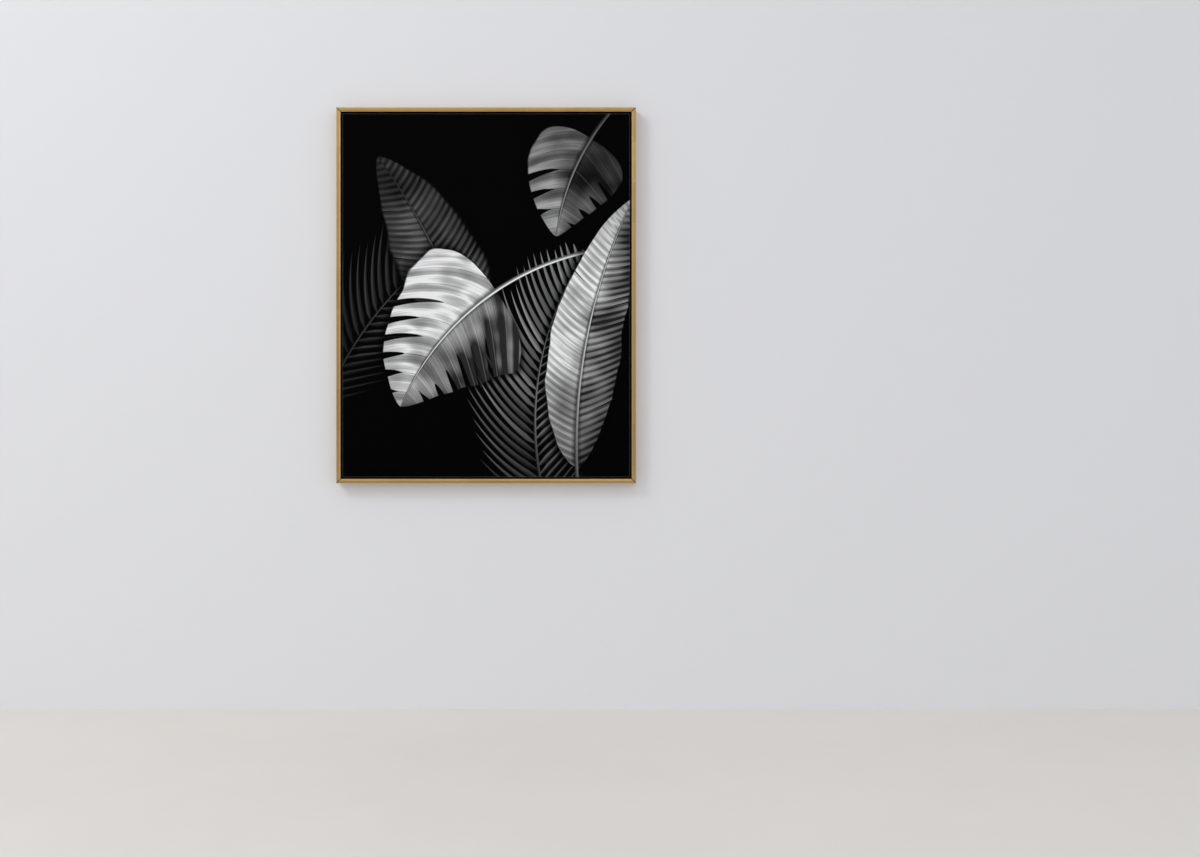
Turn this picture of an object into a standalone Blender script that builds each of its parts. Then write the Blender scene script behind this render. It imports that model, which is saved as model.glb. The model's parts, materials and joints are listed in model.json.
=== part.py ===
"""A large canvas print in a gold floater frame, as it hangs on a wall.

The origin is the middle of the hanging rail's rear face, where it lies on the wall.
+X runs to the viewer's right, +Z up, and the wall is the plane y = 0, so the print faces -Y.
The pieces are modelled about the picture's centre and hang under one empty placed there.
All sizes are in metres.
"""

import math

import bmesh
import bpy
from mathutils import Matrix, Vector

# Driving dimensions of the whole picture
FRAME_WIDTH = 1.260
FRAME_HEIGHT = 1.580
FRAME_DEPTH = 0.044
STAND_OFF = 0.007
TOUCH_GAP = 0.0003

# Floater moulding: an L section with a face towards the room and a leg behind the canvas
FACE_WIDTH = 0.018
FACE_FLAT = 0.0085
FACE_BEVEL_DROP = 0.0009
FACE_OUTER_RADIUS = 0.0020
FACE_INNER_RADIUS = 0.0008
ARRIS_STEPS = 5
FLOAT_GAP = 0.007
LEG_OVERLAP = 0.020
LEG_THICKNESS = 0.009

# Canvas, stretched over its bars and turned in behind them
CANVAS_RECESS = 0.004
CANVAS_THICKNESS = 0.0008
CANVAS_FOLD_RADIUS = 0.0016
CANVAS_TURN_IN = 0.033

# Stretcher bars
BAR_WIDTH = 0.044
BAR_BEAD_WIDTH = 0.006
BAR_BEAD_ROUND = 0.0015
BAR_SLOPE = 0.003

# Cross braces, halved over each other in the middle
BRACE_WIDTH = 0.044
BRACE_THICKNESS = 0.016

# Corner keys: wedges driven into the inner corners of the stretcher
KEY_THICKNESS = 0.0028
KEY_TIP = Vector((-0.0085, -0.0100))
KEY_LENGTH = 0.024
KEY_SEAT = 0.004
KEY_STAND_OUT = 0.009
KEY_NOSE = Vector((-0.0005, -0.0012))
KEY_SLOT_ROOM = 0.0004
KEY_SLOT_MOUTH = 0.0016

# Screws, with a crown, an edge and a cross recess given as shares of the head
FRAME_SCREW_HEAD_RADIUS = 0.0040
FRAME_SCREW_HEAD_HEIGHT = 0.0026
FRAME_SCREW_SHANK_RADIUS = 0.0018
FRAME_SCREW_LENGTH = 0.026
FRAME_SCREW_BEHIND_CANVAS = 0.011
RAIL_SCREW_HEAD_RADIUS = 0.0034
RAIL_SCREW_HEAD_HEIGHT = 0.0022
RAIL_SCREW_SHANK_RADIUS = 0.0016
RAIL_SCREW_LENGTH = 0.0085
SCREW_SIDES = 16
SCREW_HOLE_ROOM = 0.0003
CROWN_SHARE = 0.72
HEAD_EDGE_SHARE = 0.45
POINT_LENGTH_IN_RADII = 3
RECESS_WIDTH = 0.0009
RECESS_DEPTH = 0.0010
RECESS_SHARE = 0.62
UPRIGHT_SCREWS = (-0.52, 0.0, 0.52)
LEVEL_SCREWS = (-0.42, 0.42)

# Hanging rail: an aluminium Z section that hooks over a like rail on the wall
RAIL_LENGTH = 0.600
RAIL_PLATE_HEIGHT = 0.018
RAIL_PLATE_DROP = 0.010
RAIL_HOOK_HEIGHT = 0.016
RAIL_GAUGE = 0.0018
RAIL_SCREWS = (-0.26, -0.13, 0.0, 0.13, 0.26)

# Rubber bumpers near the lower corners
BUMPER_RADIUS = 0.009
BUMPER_EDGE = 0.0012
BUMPER_SIDES = 32
BUMPER_FROM_SIDE = 0.075
BUMPER_FROM_BOTTOM = 0.022

# Places worked out from those sizes
HALF_WIDTH = FRAME_WIDTH / 2
HALF_HEIGHT = FRAME_HEIGHT / 2
HOOK_CENTRE_DROP = RAIL_PLATE_DROP + RAIL_PLATE_HEIGHT + RAIL_HOOK_HEIGHT / 2
PICTURE_CENTRE = Vector((0.0, 0.0, HOOK_CENTRE_DROP - HALF_HEIGHT))
Y_BACK = -STAND_OFF
Y_FACE = Y_BACK - FRAME_DEPTH
Y_LEG = Y_BACK - LEG_THICKNESS
Y_CANVAS = Y_FACE + CANVAS_RECESS
Y_TURN_IN = Y_LEG - TOUCH_GAP
Y_BAR_BACK = Y_TURN_IN - CANVAS_THICKNESS - TOUCH_GAP
Y_BAR_FRONT = Y_CANVAS + CANVAS_THICKNESS + TOUCH_GAP
Y_KEY = (Y_BAR_FRONT + BAR_SLOPE + Y_BAR_BACK) / 2
CANVAS_INSET = FACE_WIDTH + FLOAT_GAP
BAR_INSET = CANVAS_INSET + CANVAS_THICKNESS + TOUCH_GAP
BAR_INNER_INSET = BAR_INSET + BAR_WIDTH
SCREW_INSET = CANVAS_INSET + FRAME_SCREW_BEHIND_CANVAS
Y_ON_BACK = Y_BACK + TOUCH_GAP
Y_ON_RAIL = Y_ON_BACK + RAIL_GAUGE + TOUCH_GAP
Y_FRAME_SCREW_HOLE = Y_ON_BACK - FRAME_SCREW_LENGTH - SCREW_HOLE_ROOM
Y_RAIL_SCREW_HOLE = Y_ON_RAIL - RAIL_SCREW_LENGTH - SCREW_HOLE_ROOM
MITRE_PLAY = TOUCH_GAP / math.sqrt(2)

# Each side of the picture: its turn about Y, and the half lengths along and across it
SIDES = {
    "top": (0, HALF_WIDTH, HALF_HEIGHT),
    "right": (90, HALF_HEIGHT, HALF_WIDTH),
    "bottom": (180, HALF_WIDTH, HALF_HEIGHT),
    "left": (270, HALF_HEIGHT, HALF_WIDTH),
}


def clear_scene():
    for obj in list(bpy.data.objects):
        bpy.data.objects.remove(obj)


def make_material(name, colour, roughness, metallic=0.0):
    material = bpy.data.materials.new(name)
    material.use_nodes = True
    shader = material.node_tree.nodes["Principled BSDF"]
    shader.inputs["Base Color"].default_value = (*colour, 1.0)
    shader.inputs["Roughness"].default_value = roughness
    shader.inputs["Metallic"].default_value = metallic
    return material


def add_object(name, mesh_builder, material, centre, turn_deg=0.0, smooth_angle=None):
    """Makes a named object from a bmesh, hung under the empty at the picture's centre."""
    mesh = bpy.data.meshes.new(name)
    mesh_builder.to_mesh(mesh)
    mesh_builder.free()
    obj = bpy.data.objects.new(name, mesh)
    bpy.context.scene.collection.objects.link(obj)
    obj.parent = centre
    obj.rotation_euler = (0.0, math.radians(turn_deg), 0.0)
    if material:
        mesh.materials.append(material)
    if smooth_angle:
        mesh.shade_smooth()
        mesh.set_sharp_from_angle(angle=math.radians(smooth_angle))
    return obj


def cut(target, cutter):
    """Subtracts a guide object, which the build leaves out, from a piece."""
    cutter.hide_render = True
    cutter.display_type = "WIRE"
    boolean = target.modifiers.new(cutter.name, "BOOLEAN")
    boolean.operation = "DIFFERENCE"
    boolean.solver = "EXACT"
    boolean.object = cutter


def facing_out(builder):
    """Turns the faces of one closed shell outwards."""
    bmesh.ops.recalc_face_normals(builder, faces=builder.faces)
    return builder


def arc(centre, radius, start_deg, end_deg, steps):
    """Points along an arc in the (inset, y) plane, both ends included."""
    points = []
    for step in range(steps + 1):
        angle = math.radians(start_deg + (end_deg - start_deg) * step / steps)
        points.append((centre[0] + radius * math.cos(angle), centre[1] + radius * math.sin(angle)))
    return points


def prism(outline, place, offset):
    """A closed prism: an outline turned into points by place, then extruded by offset."""
    builder = bmesh.new()
    base = builder.faces.new([builder.verts.new(place(a, b)) for a, b in outline])
    grown = bmesh.ops.extrude_face_region(builder, geom=[base])
    moved = [item for item in grown["geom"] if isinstance(item, bmesh.types.BMVert)]
    bmesh.ops.translate(builder, verts=moved, vec=offset)
    return facing_out(builder)


def mitred_bar(section, half_length, half_across):
    """A bar along X at the top of the picture, with its section given as (inset, y)
    from the picture's outer edge and both of its ends mitred at 45 degrees."""
    builder = bmesh.new()

    def end_x(inset):
        return half_length - inset - MITRE_PLAY

    start = [builder.verts.new((-end_x(inset), y, half_across - inset)) for inset, y in section]
    end_face = builder.faces.new(start)
    grown = bmesh.ops.extrude_face_region(builder, geom=[end_face])
    for item in grown["geom"]:
        if isinstance(item, bmesh.types.BMVert):
            item.co.x = -item.co.x
    return facing_out(builder)


def turned(profile, sides, origin):
    """A closed solid turned about a line along Y through origin, from (radius, y) points
    that start and end on the axis."""
    builder = bmesh.new()
    points = [builder.verts.new(origin + Vector((radius, y, 0.0))) for radius, y in profile]
    edges = [builder.edges.new(pair) for pair in zip(points, points[1:])]
    bmesh.ops.spin(
        builder,
        geom=points + edges,
        cent=origin,
        axis=(0.0, 1.0, 0.0),
        angle=2 * math.pi,
        steps=sides,
        use_merge=True,
    )
    bmesh.ops.remove_doubles(builder, verts=builder.verts, dist=1e-6)
    return facing_out(builder)


def drill_holes(points, shank_radius, y_from, y_to):
    """Several separate cylinders along Y in one mesh, used as one cutter for screw holes."""
    radius = shank_radius + SCREW_HOLE_ROOM
    builder = bmesh.new()
    lie_along_y = Matrix.Rotation(math.radians(90), 4, "X")
    for x, z in points:
        bmesh.ops.create_cone(
            builder,
            cap_ends=True,
            segments=SCREW_SIDES,
            radius1=radius,
            radius2=radius,
            depth=y_to - y_from,
            matrix=Matrix.Translation((x, (y_from + y_to) / 2, z)) @ lie_along_y,
        )
    return builder


def side_point(side, along, inset):
    """The (x, z) of a point that lies along a side at a distance in from its outer edge."""
    turn, _, half_across = SIDES[side]
    angle = math.radians(turn)
    across = half_across - inset
    x = along * math.cos(angle) + across * math.sin(angle)
    z = -along * math.sin(angle) + across * math.cos(angle)
    return x, z


def frame_screw_places():
    """Side and (x, z) of each screw that holds the stretcher in the frame."""
    places = []
    for side in SIDES:
        runs = LEVEL_SCREWS if side in ("top", "bottom") else UPRIGHT_SCREWS
        places += [(side, side_point(side, along, SCREW_INSET)) for along in runs]
    return places


def rail_screw_places():
    z = HALF_HEIGHT - RAIL_PLATE_DROP - RAIL_PLATE_HEIGHT / 2
    return [(x, z) for x in RAIL_SCREWS]


def moulding_section():
    """The floater moulding's L section: rounded outer arris, flat, shallow inner bevel,
    the channel wall beside the canvas, and the leg that the stretcher is screwed to."""
    leg_end = CANVAS_INSET + LEG_OVERLAP
    inner_y = Y_FACE + FACE_BEVEL_DROP
    outer = (FACE_OUTER_RADIUS, Y_FACE + FACE_OUTER_RADIUS)
    inner = (FACE_WIDTH - FACE_INNER_RADIUS, inner_y + FACE_INNER_RADIUS)
    return [
        (0.0, Y_BACK),
        *arc(outer, FACE_OUTER_RADIUS, 180, 270, ARRIS_STEPS),
        (FACE_OUTER_RADIUS + FACE_FLAT, Y_FACE),
        *arc(inner, FACE_INNER_RADIUS, 270, 360, ARRIS_STEPS),
        (FACE_WIDTH, Y_LEG),
        (leg_end, Y_LEG),
        (leg_end, Y_BACK),
    ]


def make_frame(gilt, centre):
    """Four mitred lengths of moulding, drilled for the stretcher and the hanging rail."""
    holes = frame_screw_places()
    for side, (turn, half_length, half_across) in SIDES.items():
        builder = mitred_bar(moulding_section(), half_length, half_across)
        rail = add_object(f"frame_{side}", builder, gilt, centre, turn)
        here = [place for of_side, place in holes if of_side == side]
        drill = drill_holes(here, FRAME_SCREW_SHANK_RADIUS, Y_TURN_IN, Y_ON_BACK)
        cut(rail, add_object(f"drill_frame_{side}", drill, None, centre))
        if side == "top":
            places = rail_screw_places()
            drill = drill_holes(places, RAIL_SCREW_SHANK_RADIUS, Y_RAIL_SCREW_HOLE, Y_ON_BACK)
            cut(rail, add_object("drill_frame_for_rail", drill, None, centre))


def bar_section():
    """A stretcher bar's section: only its outer bead touches the canvas."""
    bead_top = Y_BAR_FRONT
    bead = (BAR_INSET + BAR_BEAD_ROUND, bead_top + BAR_BEAD_ROUND)
    return [
        (BAR_INSET, Y_BAR_BACK),
        *arc(bead, BAR_BEAD_ROUND, 180, 270, ARRIS_STEPS),
        (BAR_INSET + BAR_BEAD_WIDTH, bead_top),
        (BAR_INNER_INSET, bead_top + BAR_SLOPE),
        (BAR_INNER_INSET, Y_BAR_BACK),
    ]


def key_outline(room=0.0, mouth=0.0):
    """A corner key in the corner's own axes, (along its bar, towards the other bar's far end).
    room grows it all round for its slot, and mouth runs the slot out through the mitre."""
    tip = KEY_TIP + Vector((-room - mouth, -room))
    nose = KEY_NOSE + Vector((-room - mouth, room))
    heel_low = (KEY_LENGTH + room, -KEY_SEAT - room)
    heel_high = (KEY_LENGTH + room, KEY_STAND_OUT + room)
    return [tuple(tip), heel_low, heel_high, tuple(nose)]


def key_builder(outline, thickness, sign_x, sign_z, on_level_bar):
    """A key or its slot at one inner corner of the stretcher, beside one of its two bars."""
    corner_x = sign_x * (HALF_WIDTH - BAR_INNER_INSET)
    corner_z = sign_z * (HALF_HEIGHT - BAR_INNER_INSET)

    def place(along, across):
        into_x, into_z = (along, across) if on_level_bar else (across, along)
        return (corner_x - sign_x * into_x, Y_KEY - thickness / 2, corner_z - sign_z * into_z)

    return prism(outline, place, (0.0, thickness, 0.0))


def make_stretcher(pine, centre):
    """Four mitred bars with their corner keys, drilled for the frame's screws."""
    holes = frame_screw_places()
    bars = {}
    for side, (turn, half_length, half_across) in SIDES.items():
        builder = mitred_bar(bar_section(), half_length, half_across)
        bars[side] = add_object(f"stretcher_{side}", builder, pine, centre, turn)
        here = [place for of_side, place in holes if of_side == side]
        drill = drill_holes(here, FRAME_SCREW_SHANK_RADIUS, Y_FRAME_SCREW_HOLE, Y_TURN_IN)
        cut(bars[side], add_object(f"drill_stretcher_{side}", drill, None, centre))
    make_keys(pine, bars, centre)


def make_keys(pine, bars, centre):
    """Two wedges at each inner corner, one beside each bar, and their slots."""
    for sign_z, level_side in ((1, "top"), (-1, "bottom")):
        for sign_x, upright_side in ((-1, "left"), (1, "right")):
            for side, on_level_bar in ((level_side, True), (upright_side, False)):
                label = f"{level_side}_{upright_side}_{'level' if on_level_bar else 'upright'}"
                corner = (sign_x, sign_z, on_level_bar)
                key = key_builder(key_outline(), KEY_THICKNESS, *corner)
                add_object(f"key_{label}", key, pine, centre)
                outline = key_outline(KEY_SLOT_ROOM, KEY_SLOT_MOUTH)
                slot = key_builder(outline, KEY_THICKNESS + 2 * KEY_SLOT_ROOM, *corner)
                cut(bars[side], add_object(f"slot_{label}", slot, None, centre))


def brace_outline(half_length, notch_at_back):
    """The long side of a brace, with the halving notch in its middle."""
    back, front = Y_BAR_BACK, Y_BAR_BACK - BRACE_THICKNESS
    middle = (back + front) / 2
    notch = BRACE_WIDTH / 2 + TOUCH_GAP
    if notch_at_back:
        floor = middle - TOUCH_GAP / 2
        return [
            (-half_length, front),
            (half_length, front),
            (half_length, back),
            (notch, back),
            (notch, floor),
            (-notch, floor),
            (-notch, back),
            (-half_length, back),
        ]
    floor = middle + TOUCH_GAP / 2
    return [
        (-half_length, back),
        (half_length, back),
        (half_length, front),
        (notch, front),
        (notch, floor),
        (-notch, floor),
        (-notch, front),
        (-half_length, front),
    ]


def make_braces(pine, centre):
    """An upright and a level brace between the stretcher bars, halved where they cross."""
    half_upright = HALF_HEIGHT - BAR_INNER_INSET - TOUCH_GAP
    half_level = HALF_WIDTH - BAR_INNER_INSET - TOUCH_GAP
    upright = prism(
        brace_outline(half_upright, True),
        lambda along, y: (-BRACE_WIDTH / 2, y, along),
        (BRACE_WIDTH, 0.0, 0.0),
    )
    add_object("brace_upright", upright, pine, centre)
    level = prism(
        brace_outline(half_level, False),
        lambda along, y: (along, y, -BRACE_WIDTH / 2),
        (0.0, 0.0, BRACE_WIDTH),
    )
    add_object("brace_level", level, pine, centre)


def canvas_stations():
    """The canvas's section as (inset, y), from the middle of its front, round the edge
    and the turn-in, and back along its inner side."""
    inset, wall = CANVAS_INSET, CANVAS_THICKNESS
    inner_radius = CANVAS_FOLD_RADIUS - wall
    fold = (inset + CANVAS_FOLD_RADIUS, Y_CANVAS + CANVAS_FOLD_RADIUS)
    outside = arc(fold, CANVAS_FOLD_RADIUS, 270, 180, 3)
    inside = arc(fold, inner_radius, 180, 270, 3)
    turned_in = [
        (inset, Y_TURN_IN),
        (inset + CANVAS_TURN_IN, Y_TURN_IN),
        (inset + CANVAS_TURN_IN, Y_TURN_IN - wall),
        (inset + wall, Y_TURN_IN - wall),
    ]
    return [*outside, *turned_in, *inside]


def make_canvas(print_black, centre):
    """One cloth: the printed front, the wrapped sides and the turn-in behind the bars."""
    builder = bmesh.new()
    rings = []
    for inset, y in canvas_stations():
        x, z = HALF_WIDTH - inset, HALF_HEIGHT - inset
        corners = ((-x, z), (x, z), (x, -z), (-x, -z))
        rings.append([builder.verts.new((cx, y, cz)) for cx, cz in corners])
    builder.faces.new(rings[0])
    builder.faces.new(rings[-1])
    for ring, following in zip(rings, rings[1:]):
        for i in range(4):
            j = (i + 1) % 4
            builder.faces.new((ring[i], ring[j], following[j], following[i]))
    canvas = add_object("canvas", facing_out(builder), print_black, centre)
    places = [place for _, place in frame_screw_places()]
    punch = drill_holes(places, FRAME_SCREW_SHANK_RADIUS, Y_BAR_BACK, Y_LEG)
    cut(canvas, add_object("punch_canvas", punch, None, centre))


def screw_profile(head_radius, head_height, shank_radius, length):
    """A pan-head screw as (radius, y), from the middle of its head to its point.
    Its head stands on y = 0 and its shank runs towards -Y."""
    return [
        (0.0, head_height),
        (head_radius * CROWN_SHARE, head_height),
        (head_radius, head_height * HEAD_EDGE_SHARE),
        (head_radius, 0.0),
        (shank_radius, 0.0),
        (shank_radius, POINT_LENGTH_IN_RADII * shank_radius - length),
        (0.0, -length),
    ]


def cross_recess(origin, head_radius, head_height):
    """The screwdriver's cross, cut into the head as one twelve-sided prism."""
    arm = head_radius * RECESS_SHARE
    half = RECESS_WIDTH / 2
    quarter = [(half, half), (half, arm), (-half, arm)]
    outline = []
    for turn in range(4):
        for x, z in quarter:
            for _ in range(turn):
                x, z = -z, x
            outline.append((x, z))
    floor = origin.y + head_height - RECESS_DEPTH
    return prism(
        outline,
        lambda x, z: (origin.x + x, floor, origin.z + z),
        (0.0, 2 * RECESS_DEPTH, 0.0),
    )


def make_screw(name, steel, centre, place, y_seat, sizes):
    head_radius, head_height, _, _ = sizes
    origin = Vector((place[0], y_seat, place[1]))
    screw = add_object(name, turned(screw_profile(*sizes), SCREW_SIDES, origin), steel, centre, 0, 40)
    recess = cross_recess(origin, head_radius, head_height)
    cut(screw, add_object(f"recess_{name}", recess, None, centre))


def make_screws(steel, centre):
    frame_sizes = (
        FRAME_SCREW_HEAD_RADIUS,
        FRAME_SCREW_HEAD_HEIGHT,
        FRAME_SCREW_SHANK_RADIUS,
        FRAME_SCREW_LENGTH,
    )
    counts = dict.fromkeys(SIDES, 0)
    for side, place in frame_screw_places():
        counts[side] += 1
        name = f"frame_screw_{side}_{counts[side]}"
        make_screw(name, steel, centre, place, Y_ON_BACK, frame_sizes)
    rail_sizes = (
        RAIL_SCREW_HEAD_RADIUS,
        RAIL_SCREW_HEAD_HEIGHT,
        RAIL_SCREW_SHANK_RADIUS,
        RAIL_SCREW_LENGTH,
    )
    for number, place in enumerate(rail_screw_places(), 1):
        make_screw(f"rail_screw_{number}", steel, centre, place, Y_ON_RAIL, rail_sizes)


def make_hanging_rail(aluminium, centre):
    """A Z section: the plate lies on the frame's back, and the hook hangs behind it,
    against the wall, with the wall's own rail going up between the two."""
    top = HALF_HEIGHT - RAIL_PLATE_DROP
    step = top - RAIL_PLATE_HEIGHT
    foot = step - RAIL_HOOK_HEIGHT
    plate_back = Y_ON_BACK + RAIL_GAUGE
    outline = [
        (Y_ON_BACK, top),
        (Y_ON_BACK, step),
        (-RAIL_GAUGE, step),
        (-RAIL_GAUGE, foot),
        (0.0, foot),
        (0.0, step + RAIL_GAUGE),
        (plate_back, step + RAIL_GAUGE),
        (plate_back, top),
    ]
    section = prism(
        outline,
        lambda y, z: (-RAIL_LENGTH / 2, y, z),
        (RAIL_LENGTH, 0.0, 0.0),
    )
    rail = add_object("hanging_rail", section, aluminium, centre)
    drill = drill_holes(rail_screw_places(), RAIL_SCREW_SHANK_RADIUS, Y_BACK, Y_ON_RAIL)
    cut(rail, add_object("drill_hanging_rail", drill, None, centre))


def make_bumpers(rubber, centre):
    """Two bumpers on the bottom rail that keep the picture parallel to the wall."""
    profile = [
        (0.0, 0.0),
        (BUMPER_RADIUS - BUMPER_EDGE, 0.0),
        (BUMPER_RADIUS, -BUMPER_EDGE),
        (BUMPER_RADIUS, Y_ON_BACK),
        (0.0, Y_ON_BACK),
    ]
    z = BUMPER_FROM_BOTTOM - HALF_HEIGHT
    for label, sign in (("left", -1), ("right", 1)):
        origin = Vector((sign * (HALF_WIDTH - BUMPER_FROM_SIDE), 0.0, z))
        builder = turned(profile, BUMPER_SIDES, origin)
        add_object(f"bumper_{label}", builder, rubber, centre, 0, 40)


def main():
    clear_scene()
    centre = bpy.data.objects.new("picture_centre", None)
    bpy.context.scene.collection.objects.link(centre)
    centre.location = PICTURE_CENTRE

    gilt = make_material("gilt_wood", (0.43, 0.28, 0.11), 0.42, 0.55)
    print_black = make_material("printed_canvas", (0.02, 0.02, 0.02), 0.70)
    pine = make_material("planed_pine", (0.62, 0.43, 0.24), 0.65)
    steel = make_material("zinc_plated_steel", (0.62, 0.63, 0.64), 0.35, 1.0)
    aluminium = make_material("extruded_aluminium", (0.80, 0.81, 0.82), 0.38, 1.0)
    rubber = make_material("grey_rubber", (0.16, 0.16, 0.16), 0.80)

    make_frame(gilt, centre)
    make_canvas(print_black, centre)
    make_stretcher(pine, centre)
    make_braces(pine, centre)
    make_screws(steel, centre)
    make_hanging_rail(aluminium, centre)
    make_bumpers(rubber, centre)


main()
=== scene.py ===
# A large canvas print in a gold floater frame, hung on a wall by a metal rail.
# Everything is in metres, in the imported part's own frame: +X right, +Z up, and the print faces -Y.
import json
import math
import random
from functools import partial
from types import SimpleNamespace

import bmesh
import bpy
from mathutils import Matrix, Vector, noise

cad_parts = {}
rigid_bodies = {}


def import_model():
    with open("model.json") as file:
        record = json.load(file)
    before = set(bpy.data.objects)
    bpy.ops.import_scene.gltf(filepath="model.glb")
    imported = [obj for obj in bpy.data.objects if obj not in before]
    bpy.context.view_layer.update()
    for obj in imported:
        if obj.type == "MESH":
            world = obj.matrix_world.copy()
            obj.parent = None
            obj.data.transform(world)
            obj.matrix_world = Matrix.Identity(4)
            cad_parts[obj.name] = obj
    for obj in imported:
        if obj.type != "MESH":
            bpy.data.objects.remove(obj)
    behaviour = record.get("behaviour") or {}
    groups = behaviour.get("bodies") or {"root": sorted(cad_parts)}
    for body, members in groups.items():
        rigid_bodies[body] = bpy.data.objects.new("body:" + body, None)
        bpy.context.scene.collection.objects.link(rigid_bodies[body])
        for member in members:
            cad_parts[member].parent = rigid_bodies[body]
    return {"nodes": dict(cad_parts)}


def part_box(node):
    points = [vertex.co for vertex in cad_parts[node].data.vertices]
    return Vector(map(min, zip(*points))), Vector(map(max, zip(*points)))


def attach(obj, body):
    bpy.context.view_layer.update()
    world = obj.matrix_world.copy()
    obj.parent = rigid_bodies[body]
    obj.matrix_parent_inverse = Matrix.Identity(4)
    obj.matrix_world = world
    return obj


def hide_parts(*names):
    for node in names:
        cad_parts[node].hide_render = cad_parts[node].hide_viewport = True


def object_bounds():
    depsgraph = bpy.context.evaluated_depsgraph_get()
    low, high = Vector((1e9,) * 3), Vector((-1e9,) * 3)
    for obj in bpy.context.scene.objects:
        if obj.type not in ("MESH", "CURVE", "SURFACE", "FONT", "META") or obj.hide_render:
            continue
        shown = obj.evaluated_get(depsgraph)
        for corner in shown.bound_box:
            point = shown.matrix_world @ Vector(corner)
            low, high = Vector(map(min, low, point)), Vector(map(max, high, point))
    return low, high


for leftover in list(bpy.data.objects):
    bpy.data.objects.remove(leftover)
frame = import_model()
cadLow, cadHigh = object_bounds()
print("Loaded the packed picture")

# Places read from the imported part
middle = Vector((0.0, 0.0, (cadLow.z + cadHigh.z) / 2))
halfWidth = (cadHigh.x - cadLow.x) / 2
halfHeight = (cadHigh.z - cadLow.z) / 2
faceY = cadLow.y
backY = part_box("frame_top")[1].y
canvasLow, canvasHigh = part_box("canvas")
canvasInset = halfWidth - canvasHigh.x
canvasHalf = (canvasHigh.x, canvasHigh.z - middle.z)
turnInY = canvasHigh.y
barLow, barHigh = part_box("stretcher_top")
barOuter = halfHeight - (barHigh.z - middle.z)
barInner = halfHeight - (barLow.z - middle.z)
mitreGap = 0.0001  # between the ends of two lengths that meet

# Each side's turn about the picture's middle, for a length made along X above it
sides = {"top": 0, "right": 90, "bottom": 180, "left": 270}
# Each corner's direction from the middle, along X and Z
corners = {
    "top_left": (-1, 1), "top_right": (1, 1), "bottom_left": (-1, -1), "bottom_right": (1, -1),
}


def halves(side):
    # Half the picture's size along a side and across it
    return (halfWidth, halfHeight) if side in ("top", "bottom") else (halfHeight, halfWidth)


def turned(degrees, axis):
    return Matrix.Rotation(math.radians(degrees), 4, axis)


def toSide(side):
    return Matrix.Translation(middle) @ turned(sides[side], "Y")


def hexColour(code):
    # sRGB hex to the linear colour that a shader takes
    parts = [int(code[i : i + 2], 16) / 255 for i in (1, 3, 5)]
    return [c / 12.92 if c <= 0.04045 else ((c + 0.055) / 1.055) ** 2.4 for c in parts] + [1.0]


def addNode(tree, kind, inputs=(), output=0, **settings):
    # Adds a node and gives back one of its outputs. Its mode follows its kind, as in "VectorMath
    # SINE", and a word in capitals alone is a Math node in that mode. A list of inputs fills the
    # sockets that the mode uses, in their order, and a text value is a colour.
    kind, _, mode = kind.partition(" ")
    if kind.isupper():
        kind, mode = "Math", kind
    node = tree.nodes.new("ShaderNode" + kind)
    if mode:
        settings["interpolation_type" if kind == "MapRange" else "operation"] = mode
    for name, value in settings.items():
        setattr(node, name, value)
    if isinstance(inputs, dict):
        pairs = [(node.inputs[key], value) for key, value in inputs.items()]
    else:
        pairs = zip([socket for socket in node.inputs if socket.enabled], inputs)
    for socket, value in pairs:
        if isinstance(value, bpy.types.NodeSocket):
            tree.links.new(value, socket)
        elif isinstance(value, str):
            socket.default_value = hexColour(value)[: len(socket.default_value)]
        else:
            socket.default_value = value
    return node.outputs[output] if node.outputs else node


def startNodes(name, store="materials"):
    # A new material or world, and the function that adds its nodes
    owner = getattr(bpy.data, store).new(name)
    owner.use_nodes = True
    owner.node_tree.nodes.clear()
    return owner, partial(addNode, owner.node_tree)


def closeMaterial(material, add, looks, height, relief):
    # Turns the pattern's height into relief, and adds the surface and the output
    bump = add("Bump", {"Height": height, "Distance": relief})
    surface = add("BsdfPrincipled", looks | {"Normal": bump})
    add("OutputMaterial", [surface])
    return material


def pull(points, reach):
    # A solid from an outline that is drawn out in one direction
    bm = bmesh.new()
    cap = bm.faces.new([bm.verts.new(point) for point in points])
    grown = bmesh.ops.extrude_face_region(bm, geom=[cap])["geom"]
    moved = [item for item in grown if isinstance(item, bmesh.types.BMVert)]
    bmesh.ops.translate(bm, verts=moved, vec=reach)
    bmesh.ops.recalc_face_normals(bm, faces=bm.faces)
    return bm


def turnOnLathe(profile, steps):
    # A round solid from a profile of radii and heights, its axis along +Z
    bm = bmesh.new()
    points = [bm.verts.new((radius, 0.0, height)) for radius, height in profile]
    edges = [bm.edges.new(pair) for pair in zip(points, points[1:])]
    bmesh.ops.spin(
        bm, geom=points + edges, cent=(0.0, 0.0, 0.0), axis=(0.0, 0.0, 1.0),
        angle=2 * math.pi, steps=steps, use_merge=True,
    )
    bmesh.ops.remove_doubles(bm, verts=bm.verts, dist=1e-6)
    bmesh.ops.recalc_face_normals(bm, faces=bm.faces)
    return bm


def roundEdges(bm, edges, radius, segments=2):
    bmesh.ops.bevel(
        bm, geom=edges, offset=radius, offset_type="OFFSET", affect="EDGES",
        segments=segments, profile=0.5, material=-1,
    )


def cutFlat(bm, spot, facing, clear):
    return bmesh.ops.bisect_plane(
        bm, geom=bm.verts[:] + bm.edges[:] + bm.faces[:], dist=1e-6,
        plane_co=spot, plane_no=facing, clear_outer=clear,
    )["geom_cut"]


def markGrain(bm, edge, front, shift):
    # Every point keeps its place along the length, in from the edge and back from the front
    layer = bm.verts.layers.float_vector.new("grainPlace")
    for vert in bm.verts:
        vert[layer] = (vert.co.x + shift, edge - vert.co.z, vert.co.y - front)


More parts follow.
